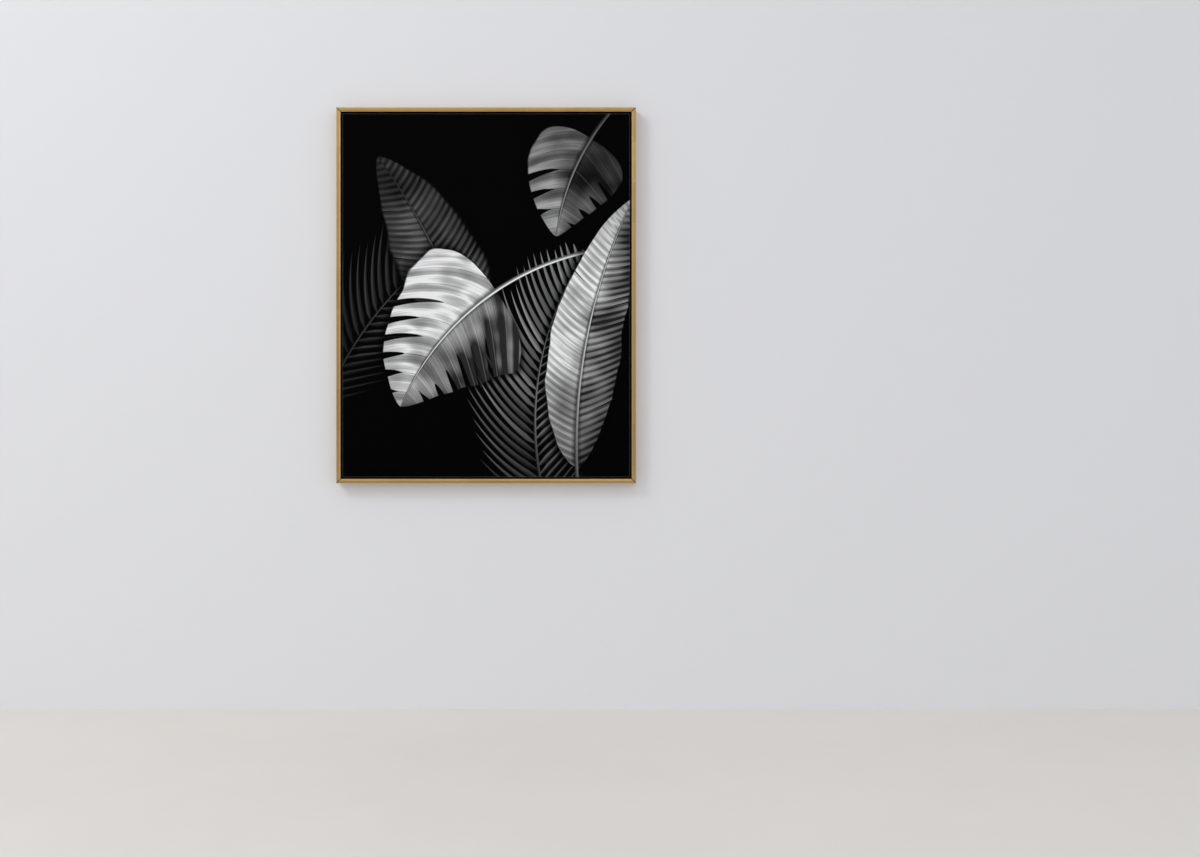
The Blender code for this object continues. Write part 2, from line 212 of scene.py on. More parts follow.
def toMesh(name, bm):
    mesh = bpy.data.meshes.new(name)
    bm.to_mesh(mesh)
    bm.free()
    return mesh


def meshObject(name, bm, materials=()):
    made = bpy.data.objects.new(name, toMesh(name, bm))
    for material in materials:
        made.data.materials.append(material)
    bpy.context.scene.collection.objects.link(made)
    return made


def finishPiece(name, bm, materials, replaced=(), place=Matrix(), smoothDeg=35):
    # Puts a shape in its place in the picture and hands it to the frame
    bmesh.ops.transform(bm, matrix=place, verts=bm.verts)
    bmesh.ops.recalc_face_normals(bm, faces=bm.faces)
    piece = meshObject(name, bm, materials)
    piece.data.shade_smooth()
    piece.data.set_sharp_from_angle(angle=math.radians(smoothDeg))
    flatten = piece.modifiers.new("flatFaces", "WEIGHTED_NORMAL")
    flatten.keep_sharp = True
    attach(piece, "root")
    if replaced:
        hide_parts(*replaced)
    return piece


def woodGrain(add, place, look):
    # Growth rings round a heart that lies beside the board, fine fibres and a few knots
    every, radius = look["knotEvery"], look["knotRadius"]
    drawn = add("VectorMath MULTIPLY", [place, (0.05, 1.0, 1.0)])
    wander = add("TexNoise", [drawn, 1 / look["wanderSize"], 2.0])
    spots = {"Vector": place, "Scale": 1 / every, "Randomness": 0.5}
    cells = add("TexVoronoi", spots, voronoi_dimensions="2D")
    luck = add("SeparateXYZ", [cells.node.outputs["Color"]])
    chosen = add("LESS_THAN", [luck, look["knotShare"]])
    away = add("MULTIPLY", [cells, every])
    swirl = add("MapRange SMOOTHSTEP", [away, radius * 3.2, radius * 0.6, 0.0, 1.0])
    swirl = add("MULTIPLY", [swirl, chosen])
    knot = add("MapRange SMOOTHSTEP", [away, radius, radius * 0.7, 0.0, 1.0])
    knot = add("MULTIPLY", [knot, chosen])

    flat = add("VectorMath MULTIPLY", [place, (0.0, 1.0, 1.0)])
    ring = add("VectorMath DISTANCE", [flat, look["heart"]], output="Value")
    ring = add("MULTIPLY_ADD", [wander, look["wander"], ring])
    ring = add("MULTIPLY_ADD", [swirl, radius * 1.3, ring])
    ring = add("DIVIDE", [ring, look["ringSpacing"]])
    # Wet and dry years make the rings wider and narrower
    years = add("TexNoise", [ring, 0.45, 1.0], noise_dimensions="1D")
    ring = add("MULTIPLY_ADD", [years, 2.6, ring])
    late = add("POWER", [add("FRACT", [ring]), 2.6])

    thin = add("VectorMath MULTIPLY", [place, (0.025, 1.0, 1.0)])
    fibre = add("TexNoise", [thin, 1 / look["fibreWidth"], 3.0])
    board = add("TexNoise", [drawn, 1 / look["shadeSize"], 1.0])
    dark = add("MULTIPLY_ADD", [late, 0.55, -0.20])
    dark = add("MULTIPLY_ADD", [fibre, 0.60, dark])
    dark = add("MULTIPLY_ADD", [board, 0.30, dark], use_clamp=True)
    colour = add("MixRGB", [dark, look["early"], look["late"]])
    # A knot has rings of its own
    core = add("MULTIPLY", [away, 2 * math.pi / look["knotRing"]])
    core = add("MULTIPLY_ADD", [add("SINE", [core]), 0.16, 1.0])
    knot = add("MULTIPLY", [add("MULTIPLY", [knot, 0.72]), core])
    colour = add("MixRGB", [knot, colour, look["knot"]])
    height = add("MULTIPLY_ADD", [late, 0.5, fibre])
    return colour, height, fibre


def planedPine(name, look):
    # Softwood planed and left bare: pale, matt and streaked, with darker summer rings
    material, add = startNodes(name)
    place = add("Attribute", output="Vector", attribute_name="grainPlace")
    colour, height, fibre = woodGrain(add, place, look)
    rough = add("MULTIPLY_ADD", [fibre, 0.22, look["roughness"]])
    looks = {"Base Color": colour, "Roughness": rough, "Specular IOR Level": 0.35}
    return closeMaterial(material, add, looks, height, look["relief"])


# Gold floater moulding: an L section, its face towards the room and its leg behind the canvas.
# Each point of the section is its inset, its depth behind the face and the radius of its arris.
moulding = {
    "faceWidth": 0.018,
    "section": [
        (0.0, 0.044, 0.0010), (0.0, 0.0, 0.0020), (0.0105, 0.0, 0.0008), (0.018, 0.0009, 0.0008),
        (0.018, 0.035, 0.0), (0.045, 0.035, 0.0008), (0.045, 0.044, 0.0008),
    ],
    "mitreRound": 0.0003,
    "gold": "#C8A66D",
    "goldShade": "#A98450",
    "bole": "#4A2E1C",
    "channel": "#0C0B0B",
    "channelDust": "#4B4743",
    "streakWidth": 0.0012,  # real brush marks are finer; these are as coarse as the view needs
    "cloudSize": 1 / 22,  # of a metre, so 45 mm
    "crinkleSize": 1 / 140,  # 7 mm
    "speckSize": 1 / 420,  # 2.4 mm
    "brushWidth": 1 / 700,  # 1.4 mm
    "dustSize": 1 / 260,  # 3.8 mm
    "leafLap": 0.17,
}
mouldingBack = {
    "early": "#8B6B49", "late": "#5B4129", "knot": "#37261A",
    "heart": (0.0, -0.035, 0.060), "ringSpacing": 0.0034,
    "wander": 0.010, "wanderSize": 0.0625, "shadeSize": 0.2, "fibreWidth": 0.0011,
    "knotEvery": 0.16, "knotShare": 0.25, "knotRadius": 0.006, "knotRing": 0.0018,
    "roughness": 0.58, "relief": 0.00012,
}


def goldFoilOnWood():
    # Gold foil over a sealed wooden moulding, lacquered satin: it shines warm and soft, drawn out
    # along the length, clouded a little, and rubbed through to brown at the arrises and the mitres
    material, add = startNodes("goldFoilOnWood")
    place = add("Attribute", output="Vector", attribute_name="grainPlace")
    toMitre = add("Attribute", output="Fac", attribute_name="toMitre")
    along, inset, depth = add("SeparateXYZ", [place]).node.outputs
    drawn = add("VectorMath MULTIPLY", [place, (0.012, 1.0, 1.0)])
    streak = add("TexNoise", [drawn, 1 / moulding["streakWidth"], 2.0])
    cloud = add("TexNoise", [place, 1 / moulding["cloudSize"], 4.0])

    # Where two leaves of foil lap there is a hair line across the rail, and no two leaves match
    lean = add("MULTIPLY_ADD", [cloud, 0.012, along])
    lean = add("DIVIDE", [lean, moulding["leafLap"]])
    lap = add("MapRange", [add("PINGPONG", [lean, 0.5]), 0.0, 0.0055, 1.0, 0.0])
    leaf = add("TexWhiteNoise", [add("FLOOR", [lean])], noise_dimensions="1D")
    # Foil this thin never lies quite flat, but crinkles over the wood
    creases = {"Vector": place, "Scale": 1 / moulding["crinkleSize"], "Detail": 3.0}
    creases["Distortion"] = 0.6
    crinkle = add("TexNoise", creases, noise_type="RIDGED_MULTIFRACTAL")

    # Rubbed arrises: the outer one at the corner of the section, the inner one beside the canvas
    fromOuter = add("ADD", [inset, depth])
    fromInner = add("ABSOLUTE", [add("SUBTRACT", [inset, moulding["faceWidth"]])])
    near = add("MINIMUM", [fromOuter, fromInner])
    near = add("MapRange", [near, 0.0002, 0.0028, 0.62, 0.0])
    specks = add("TexNoise", [place, 1 / moulding["speckSize"], 3.0])
    rubbed = add("MULTIPLY_ADD", [cloud, 0.9, add("ADD", [near, specks])])
    rubbed = add("MapRange", [rubbed, 1.46, 1.75, 0.0, 0.6])
    joint = add("MapRange", [toMitre, 0.0016, 0.0036, 0.94, 0.0])
    worn = add("MAXIMUM", [rubbed, joint])

    dull = add("MULTIPLY_ADD", [cloud, 0.85, -0.30])
    dull = add("MULTIPLY_ADD", [streak, 0.20, dull])
    dull = add("MULTIPLY_ADD", [leaf, 0.30, dull])
    dull = add("MULTIPLY_ADD", [lap, 0.35, dull], use_clamp=True)
    colour = add("MixRGB", [dull, moulding["gold"], moulding["goldShade"]])
    # The sloping inner part of the face is burnished a little brighter
    sloped = add("MapRange", [inset, 0.0098, 0.0110, 1.0, 1.22])
    colour = add("VectorMath SCALE", [colour, sloped])
    colour = add("MixRGB", [worn, colour, moulding["bole"]])
    metal = add("MULTIPLY_ADD", [worn, -1.0, 1.0])
    rough = add("MULTIPLY_ADD", [cloud, 0.22, 0.20])
    rough = add("MULTIPLY_ADD", [streak, 0.10, rough])
    height = add("MULTIPLY_ADD", [streak, 0.3, cloud])
    height = add("MULTIPLY_ADD", [crinkle, 0.35, height])
    height = add("MULTIPLY_ADD", [lap, 0.4, height])
    looks = {"Base Color": colour, "Metallic": metal, "Roughness": rough}
    looks |= {"Coat Weight": 0.15, "Coat Roughness": 0.35}
    return closeMaterial(material, add, looks, height, 0.00010)


def blackPaintedWood():
    # The channel beside the canvas, brushed with matt black so that the canvas seems to float
    material, add = startNodes("blackPaintedWood")
    place = add("Attribute", output="Vector", attribute_name="grainPlace")
    drawn = add("VectorMath MULTIPLY", [place, (0.06, 1.0, 1.0)])
    brush = add("TexNoise", [drawn, 1 / moulding["brushWidth"], 3.0])
    dust = add("TexNoise", [place, 1 / moulding["dustSize"], 4.0])
    dust = add("MapRange", [dust, 0.60, 0.78, 0.0, 0.14])
    paint = [dust, moulding["channel"], moulding["channelDust"]]
    rough = add("MULTIPLY_ADD", [brush, 0.20, 0.62])
    looks = {"Base Color": add("MixRGB", paint), "Roughness": rough, "Specular IOR Level": 0.15}
    return closeMaterial(material, add, looks, brush, 0.00012)


def mitredLength(section, side, mitreRound):
    # One side of a frame, made along X above the picture's middle with both ends at 45 degrees
    halfLong, halfAcross = halves(side)
    outline = [(-halfLong, faceY + depth, halfAcross - inset) for inset, depth, arris in section]
    bm = pull(outline, (2 * halfLong, 0.0, 0.0))
    for inset, depth, arris in section:
        here = Vector((faceY + depth, halfAcross - inset))
        near = []
        for edge in bm.edges:
            if max((vert.co.yz - here).length for vert in edge.verts) < 1e-6:
                near.append(edge)
        if arris:
            roundEdges(bm, near, arris, 4 if arris > 0.001 else 3)
    for end in (-1, 1):
        tip = (end * (halfLong - mitreGap / math.sqrt(2)), 0.0, halfAcross)
        cut = cutFlat(bm, tip, (end, 0.0, -1.0), True)
        rim = [item for item in cut if isinstance(item, bmesh.types.BMEdge)]
        bmesh.ops.holes_fill(bm, edges=rim, sides=0)
        roundEdges(bm, rim, mitreRound, 1)
    cutFlat(bm, (0.0, 0.0, 0.0), (1.0, 0.0, 0.0), False)
    bmesh.ops.recalc_face_normals(bm, faces=bm.faces)
    # Shifted, so that no two lengths have the same grain
    markGrain(bm, halfAcross, faceY, list(sides).index(side) * 3.7)
    layer = bm.verts.layers.float.new("toMitre")
    for vert in bm.verts:
        vert[layer] = halfLong - abs(vert.co.x) - (halfAcross - vert.co.z)
    return bm, halfAcross


def makeMouldings():
    finishes = [goldFoilOnWood(), blackPaintedWood(), planedPine("washedWoodBack", mouldingBack)]
    for side in sides:
        bm, halfAcross = mitredLength(moulding["section"], side, moulding["mitreRound"])
        for face in bm.faces:
            inset = halfAcross - face.calc_center_median().z
            if abs(face.normal.x) > 0.6 or face.normal.y > 0.7:
                face.material_index = 2
            elif inset > moulding["faceWidth"] - 0.00005:
                face.material_index = 1
        name = f"gilt_moulding_{side}"
        finishPiece(name, bm, finishes, [f"frame_{side}"], toSide(side))


makeMouldings()
print("Gold mouldings done")

# The print: a studio study of broad leaves and palm fronds in greys on black
leafPrint = {
    "light": (-0.55, 0.60, 0.58),  # from the upper left and the front
    "haloReach": 0.045,
    "ribHalf": 0.0085,
    "waveSize": 1 / 6,  # of a metre, the slow waves in a blade
    "fineVein": 1 / 190,  # 5 mm, as coarse as the view needs
    "murkSize": 1 / 2.2,
    "contrast": 1.3,
    "gain": 1.38,
    "paper": 0.86,  # the white of the coating
}


def startLeaf(name, values):
    # A node group for one kind of leaf, whose blade grows along X from 0 and bends to its radius.
    # The leaf holds the values given to the group, and then the places worked out from them.
    tree = bpy.data.node_groups.new(name, "ShaderNodeTree")
    for label in values:
        kind = "NodeSocketVector" if label in ("place", "light") else "NodeSocketFloat"
        tree.interface.new_socket(label, in_out="INPUT", socket_type=kind)
    add = partial(addNode, tree)
    start = tree.nodes.new("NodeGroupInput")
    leaf = SimpleNamespace(**{socket.name: socket for socket in start.outputs if socket.name})

    # Distance along the curved midrib, distance from it, and the midrib's turn
    across, rise, _ = add("SeparateXYZ", [leaf.place]).node.outputs
    up = add("SUBTRACT", [leaf.radius, rise])
    leaf.turn = add("ARCTAN2", [across, up])
    leaf.along = add("MULTIPLY", [leaf.turn, leaf.radius])
    reach = add("VectorMath LENGTH", [add("CombineXYZ", [across, up])], output="Value")
    leaf.off = add("SUBTRACT", [leaf.radius, reach])
    leaf.far = add("ABSOLUTE", [leaf.off])
    leaf.side = add("SIGN", [leaf.off])

    # Side veins lean forward from the midrib, and number the strips between them
    lean = add("MULTIPLY_ADD", [leaf.curve, leaf.far, leaf.lean])
    leaf.steep = add("MULTIPLY_ADD", [leaf.curve, leaf.far, lean])
    leaf.veined = add("SUBTRACT", [leaf.along, add("MULTIPLY", [lean, leaf.far])])
    count = add("DIVIDE", [leaf.veined, leaf.pitch])
    count = add("MULTIPLY_ADD", [leaf.side, 0.25, count])
    leaf.cell = add("FLOOR", [count])
    leaf.across = add("SUBTRACT", [add("SUBTRACT", [count, leaf.cell]), 0.5])
    mark = add("CombineXYZ", [leaf.cell, leaf.side, leaf.seed])
    leaf.chance = add("TexWhiteNoise", [mark], noise_dimensions="3D")
    return tree, add, leaf


def endLeaf(tree, add, shade, blade, rib, ribLit, halo):
    # The rib lies over the blade, and the group gives its shade, its mask and its dark halo
    shade = add("Mix", [rib, shade, ribLit])
    mask = add("MAXIMUM", [blade, rib])
    end = tree.nodes.new("NodeGroupOutput")
    for label, socket in (("Shade", shade), ("Mask", mask), ("Halo", halo)):
        tree.interface.new_socket(label, in_out="OUTPUT", socket_type="NodeSocketFloat")
        tree.links.new(socket, end.inputs[label])
    return tree


def bladeProfile(add, share, peak, roundness):
    # 0 at the base and the tip of a blade, 1 at its widest
    bent = add("POWER", [add("Clamp", [share]), peak])
    wave = add("SINE", [add("MULTIPLY", [bent, math.pi])], use_clamp=True)
    return add("POWER", [wave, roundness])


def litSurface(add, leaf, slopeAlong, slopeAcross):
    # Diffuse and glossy light on a surface with these slopes
    lamp = {"Vector": leaf.light, "Angle": leaf.turn}
    local = add("VectorRotate", lamp, rotation_type="Z_AXIS", invert=True)
    tilt = add("CombineXYZ", [slopeAlong, slopeAcross, 1.0])
    tilt = add("VectorMath MULTIPLY", [tilt, (-1.0, -1.0, 1.0)])
    facing = add("VectorMath NORMALIZE", [tilt])
    direct = add("VectorMath DOT_PRODUCT", [facing, local], output="Value")
    halfway = add("VectorMath ADD", [local, (0.0, 0.0, 1.0)])
    halfway = add("VectorMath NORMALIZE", [halfway])
    glint = add("VectorMath DOT_PRODUCT", [facing, halfway], output="Value")
    gloss = add("POWER", [add("MAXIMUM", [glint, 0.0]), 22.0])
    return add("MAXIMUM", [direct, 0.0]), gloss


def midrib(add, leaf):
    # A tapering round rib that runs on below the blade as its stem
    share = add("DIVIDE", [leaf.along, leaf.length], use_clamp=True)
    taper = add("MULTIPLY_ADD", [share, -0.86, 1.0])
    half = add("MULTIPLY", [taper, leafPrint["ribHalf"]])
    across = add("DIVIDE", [leaf.off, half])
    leaf.ribGap = add("DIVIDE", [leaf.far, half])
    inside = add("MapRange", [leaf.ribGap, 1.0, 0.75, 0.0, 1.0])
    foot = add("GREATER_THAN", [leaf.along, leaf.stem])
    leaf.shortOfTip = add("LESS_THAN", [leaf.along, leaf.length])
    inside = add("MULTIPLY", [inside, add("MULTIPLY", [foot, leaf.shortOfTip])])
    slope = add("MULTIPLY", [across, 1.3])
    soft, gloss = litSurface(add, leaf, 0.0, slope)
    lit = add("MULTIPLY_ADD", [soft, 0.85, 0.22])
    lit = add("MULTIPLY_ADD", [gloss, 0.35, lit])
    return inside, add("MULTIPLY", [lit, leaf.tone])


leafValues = ("place", "light", "radius", "length", "reach", "peak", "lean", "curve", "pitch")
leafValues += ("stem", "tone", "sheen", "softness", "seed")


def broadLeafGroup():
    # One broad blade on a curved midrib, quilted between its side veins and slotted at its margin
    values = leafValues + ("slotStart", "slotWidth", "slotShare")
    tree, add, leaf = startLeaf("broadLeaf", values)
    share = add("DIVIDE", [leaf.along, leaf.length])
    spot = add("CombineXYZ", [leaf.along, leaf.off, leaf.seed])
    slow = [spot, 1 / leafPrint["waveSize"], 1.5]
    waves = add("SeparateXYZ", [add("TexNoise", slow, output="Color")])
    waveAlong, waveAcross, margin = waves.node.outputs
    full = bladeProfile(add, share, leaf.peak, 0.72)
    edge = add("MULTIPLY_ADD", [margin, 0.34, 0.83])
    half = add("MULTIPLY", [full, leaf.reach])
    half = add("MAXIMUM", [add("MULTIPLY", [half, edge]), 0.0004])
    outward = add("DIVIDE", [leaf.far, half])

    # Slots open between the veins towards the margin, clear of the midrib
    start = add("MULTIPLY_ADD", [leaf.chance, 0.30, leaf.slotStart])
    split = add("MapRange", [outward, start, 1.02, 0.0, 1.0])
    split = add("POWER", [split, 0.55])
    chosen = add("FRACT", [add("MULTIPLY", [leaf.chance, 7.0])])
    chosen = add("LESS_THAN", [chosen, leaf.slotShare])
    clear = add("MapRange", [leaf.far, 0.03, 0.09, 0.0, 1.0])
    grown = add("GREATER_THAN", [leaf.cell, 0.5])
    for part in (chosen, leaf.slotWidth, clear, grown):
        split = add("MULTIPLY", [split, part])
    offSlot = add("ABSOLUTE", [leaf.across])
    lobe = add("MapRange", [add("SUBTRACT", [offSlot, split]), -0.01, 0.02, 0.0, 1.0])
    rim = add("ADD", [leaf.softness, 1.0])
    inner = add("SUBTRACT", [1.0, leaf.softness])
    blade = add("MapRange SMOOTHSTEP", [outward, rim, inner, 0.0, 1.0])
    blade = add("MULTIPLY", [blade, lobe])

    # Slopes: quilting between the veins, drooping sides and slow waves
    quilt = add("SINE", [add("MULTIPLY", [leaf.across, 2 * math.pi])])
    quilt = add("MULTIPLY", [quilt, -0.34])
    swing = add("MULTIPLY_ADD", [waveAlong, 2.2, -1.1])
    slopeAlong = add("ADD", [swing, quilt])
    droop = add("MULTIPLY_ADD", [outward, 0.55, 0.18])
    droop = add("MULTIPLY_ADD", [quilt, leaf.steep, droop])
    droop = add("MULTIPLY", [droop, leaf.side])
    swing = add("MULTIPLY_ADD", [waveAcross, 2.2, -1.1])
    slopeAcross = add("SUBTRACT", [swing, droop])
    soft, gloss = litSurface(add, leaf, slopeAlong, slopeAcross)

    # Fine parallel veins break up the light
    grain = add("CombineXYZ", [leaf.veined, leaf.far, leaf.seed])
    grain = add("VectorMath MULTIPLY", [grain, (1.0, 0.035, 1.0)])
    streak = add("TexNoise", [grain, 1 / leafPrint["fineVein"], 2.0])
    grainy = add("MULTIPLY_ADD", [streak, 0.9, 0.55])
    shade = add("MULTIPLY_ADD", [soft, 0.92, 0.07])
    shade = add("MULTIPLY", [shade, grainy])
    vein = add("MapRange", [offSlot, 0.45, 0.485, 0.0, 0.16])
    shade = add("MULTIPLY", [add("ADD", [shade, vein]), leaf.tone])
    shine = add("MULTIPLY", [gloss, grainy])
    shade = add("MULTIPLY_ADD", [shine, leaf.sheen, shade])

    # The blade ends at its foot and its tip, and is darker in the crease beside the rib
    rib, ribLit = midrib(add, leaf)
    bearing = add("MULTIPLY", [add("GREATER_THAN", [leaf.along, 0.0]), leaf.shortOfTip])
    blade = add("MULTIPLY", [blade, bearing])
    crease = add("MapRange SMOOTHSTEP", [leaf.ribGap, 3.2, 0.8, 0.0, 0.55])
    shade = add("MULTIPLY", [shade, add("SUBTRACT", [1.0, crease])])
    beyond = add("SUBTRACT", [leaf.far, half])
    halo = add("MapRange SMOOTHSTEP", [beyond, leafPrint["haloReach"], 0.0, 0.0, 1.0])
    halo = add("MULTIPLY", [halo, bearing])
    return endLeaf(tree, add, shade, blade, rib, ribLit, halo)


def palmFrondGroup():
    # A feather of narrow leaflets on a curved spine, each folded along its middle
    tree, add, leaf = startLeaf("palmFrond", leafValues)
    root = add("MULTIPLY", [leaf.cell, leaf.pitch])
    share = add("DIVIDE", [root, leaf.length])
    full = bladeProfile(add, share, leaf.peak, 0.55)
    luck = add("MULTIPLY_ADD", [leaf.chance, 0.22, 0.86])
    reach = add("MULTIPLY", [full, leaf.reach])
    reach = add("MAXIMUM", [add("MULTIPLY", [reach, luck]), 0.0004])
    outward = add("DIVIDE", [leaf.far, reach])
    narrow = add("SUBTRACT", [1.0, outward], use_clamp=True)
    narrow = add("POWER", [narrow, 0.62])
    neck = add("MULTIPLY", [outward, 7.0], use_clamp=True)
    neck = add("MULTIPLY_ADD", [neck, 0.31, 0.13])
    width = add("MULTIPLY", [narrow, neck])
    # Each leaflet wanders a little from its place in the row
    stray = add("MULTIPLY_ADD", [leaf.chance, 0.35, -0.175])
    across = add("MULTIPLY_ADD", [stray, outward, leaf.across])
    spare = add("SUBTRACT", [width, add("ABSOLUTE", [across])])
    blade = add("MapRange SMOOTHSTEP", [spare, 0.0, leaf.softness, 0.0, 1.0])

    crease = add("Clamp", [add("MULTIPLY", [across, -14.0]), -1.0, 1.0])
    crease = add("MULTIPLY", [crease, 0.42])
    nod = add("MULTIPLY_ADD", [leaf.chance, 0.9, -0.45])
    slopeAlong = add("ADD", [crease, nod])
    droop = add("MULTIPLY_ADD", [outward, 0.75, -0.10])
    droop = add("MULTIPLY_ADD", [crease, leaf.steep, droop])
    slopeAcross = add("MULTIPLY", [add("MULTIPLY", [droop, leaf.side]), -1.0])
    soft, gloss = litSurface(add, leaf, slopeAlong, slopeAcross)
    shade = add("MULTIPLY_ADD", [soft, 0.95, 0.05])
    shade = add("MULTIPLY", [shade, leaf.tone])
    shade = add("MULTIPLY_ADD", [gloss, leaf.sheen, shade])

    rib, ribLit = midrib(add, leaf)
    grown = add("GREATER_THAN", [full, 0.05])
    blade = add("MULTIPLY", [blade, grown])
    near = add("MapRange SMOOTHSTEP", [spare, -0.30, 0.05, 0.0, 0.8])
    inner = add("MapRange SMOOTHSTEP", [outward, 1.1, 0.6, 0.0, 1.0])
    halo = add("MULTIPLY", [add("MULTIPLY", [near, inner]), grown])
    return endLeaf(tree, add, shade, blade, rib, ribLit, halo)


# What each kind of leaf has in common
leafKinds = {
    "palm": {"peak": 0.62, "lean": 0.75, "curve": 0.9, "stem": -0.5, "gloss": 0.35},
    "broad": {
        "peak": 0.80, "lean": 0.35, "curve": 1.2, "stem": -0.17, "gloss": 0.5,
        "slotStart": 0.25, "slotWidth": 0.10, "slotShare": 0.16,
    },
    "slotted": {
        "peak": 0.52, "lean": 0.30, "curve": 1.5, "stem": -0.6, "gloss": 0.45,
        "slotStart": 0.28, "slotWidth": 0.20, "slotShare": 1.1,
    },
}
# Each leaf from back to front: its kind, the foot of its blade in metres from the print's middle,
# its heading in degrees, the radius that it bends to, then the values that formNames lists
formNames = ("length", "reach", "tone", "softness", "seed", "pitch")
leaves = [
    ("palm", (-0.70, -0.50), 70, -1.5, (0.92, 0.27, 0.085, 0.18, 4.1, 0.042)),
    ("broad", (-0.06, -0.22), 106, 2.5, (0.90, 0.17, 0.13, 0.06, 6.85, 0.030)),
    ("palm", (0.30, -1.02), 112, -1.3, (1.22, 0.29, 0.27, 0.09, 15.1, 0.038)),
    ("slotted", (0.44, 0.66), 238, 1.0, (0.44, 0.20, 0.36, 0.025, 8.22, 0.085)),
    ("slotted", (0.04, 0.02), 214, 1.1, (0.64, 0.30, 0.56, 0.012, 12.33, 0.085)),
    ("broad", (0.38, -0.72), 92, -2.4, (1.16, 0.15, 0.60, 0.015, 2.74, 0.030)),
]


def drawLeafPrint(add, plane):
    broad, palm = broadLeafGroup(), palmFrondGroup()
    murk = add("TexNoise", [plane, 1 / leafPrint["murkSize"], 2.0])
    value = add("MapRange", [murk, 0.35, 0.8, 0.0002, 0.0020])
    for kind, foot, heading, bend, form in leaves:
        # The plane is turned so that the blade's foot is at 0 and the leaf grows along +X
        angle = math.radians(heading)
        flip = -1.0 if bend < 0 else 1.0
        moves = [plane, (*foot, 0.0), (0.0, 0.0, angle), (1.0, flip, 1.0)]
        light = Matrix.Rotation(-angle, 3, "Z") @ Vector(leafPrint["light"])
        light.y *= flip
        common = leafKinds[kind] | dict(zip(formNames, form))
        common["place"] = add("Mapping", moves, vector_type="TEXTURE")
        common |= {"light": light, "radius": abs(bend)}
        common["sheen"] = common["tone"] * common.pop("gloss")
        leaf = add("Group", common, node_tree=palm if kind == "palm" else broad).node.outputs
        dim = add("MULTIPLY_ADD", [leaf["Halo"], -0.72, 1.0])
        value = add("MULTIPLY", [value, dim])
        value = add("Mix", [leaf["Mask"], value, leaf["Shade"]])
    # The light falls off towards the print's edges
    fall = add("VectorMath DISTANCE", [plane, (0.02, 0.02, 0.0)], output="Value")
    pool = add("MapRange SMOOTHSTEP", [fall, 0.25, 0.95, 1.0, 0.22])
    value = add("MULTIPLY", [value, pool])
    # Printed with strong contrast
    value = add("POWER", [value, leafPrint["contrast"]])
    value = add("MULTIPLY", [value, leafPrint["gain"]])
    return add("MINIMUM", [value, leafPrint["paper"]])


# Canvas: one cloth over the bars, its printed front, its black wrapped sides and its turn-in
canvasCloth = {
    "columns": 120, "rows": 152, "sideRows": 5, "turnInRows": 5,
    "foldRadius": 0.0016,
    "backFoldRadius": 0.0010,
    "turnIn": 0.033,
    "thickness": 0.0006,
    "waveDepth": 0.0006,
    "waveLength": 0.26,
    "tightEdge": 0.004,
    "slackWithin": 0.09,
    "pucker": 0.0003,
    "fray": 0.0010,
    "fraysPerMetre": 90,
    "thread": 0.0024,  # real threads are 0.9 mm apart; drawn coarser so that they show
    "slubLength": 0.045,
    "printGrain": 0.0016,
    "wearAndHighlightSize": 1 / 60,  # of a metre, so 17 mm
    "huskSize": 1 / 210,  # 4.8 mm
    "inkBleed": 0.019,  # how far the black runs on behind the bars
    "ink": 0.0008,
    "coating": "#DCD9D0",
    "cotton": "#D9CDB2",
    "husk": "#8A7350",
}
stapleEvery = 0.050
stapleInset = 0.051
sideDepth = turnInY - canvasLow.y


def weaveHeight(add, plane):
    # Threads over and under each other, with slubs: thicker yarn along both ways of the cloth
    turn = math.pi / canvasCloth["thread"]
    waves = add("VectorMath MULTIPLY", [plane, (turn, turn, 0.0)])
    waves = add("VectorMath SINE", [waves])
    warp, weft, _ = add("SeparateXYZ", [waves]).node.outputs
    height = add("ABSOLUTE", [add("MULTIPLY", [warp, weft])])
    height = add("POWER", [height, 0.6])
    for stretch in ((0.06, 1.0, 1.0), (1.0, 0.06, 1.0)):
        yarn = add("VectorMath MULTIPLY", [plane, stretch])
        slubs = [yarn, 18 / canvasCloth["slubLength"], 1.0]
        yarn = add("MapRange", [add("TexNoise", slubs), 0.62, 0.80, 0.0, 1.6])
        height = add("ADD", [height, yarn])
    return height


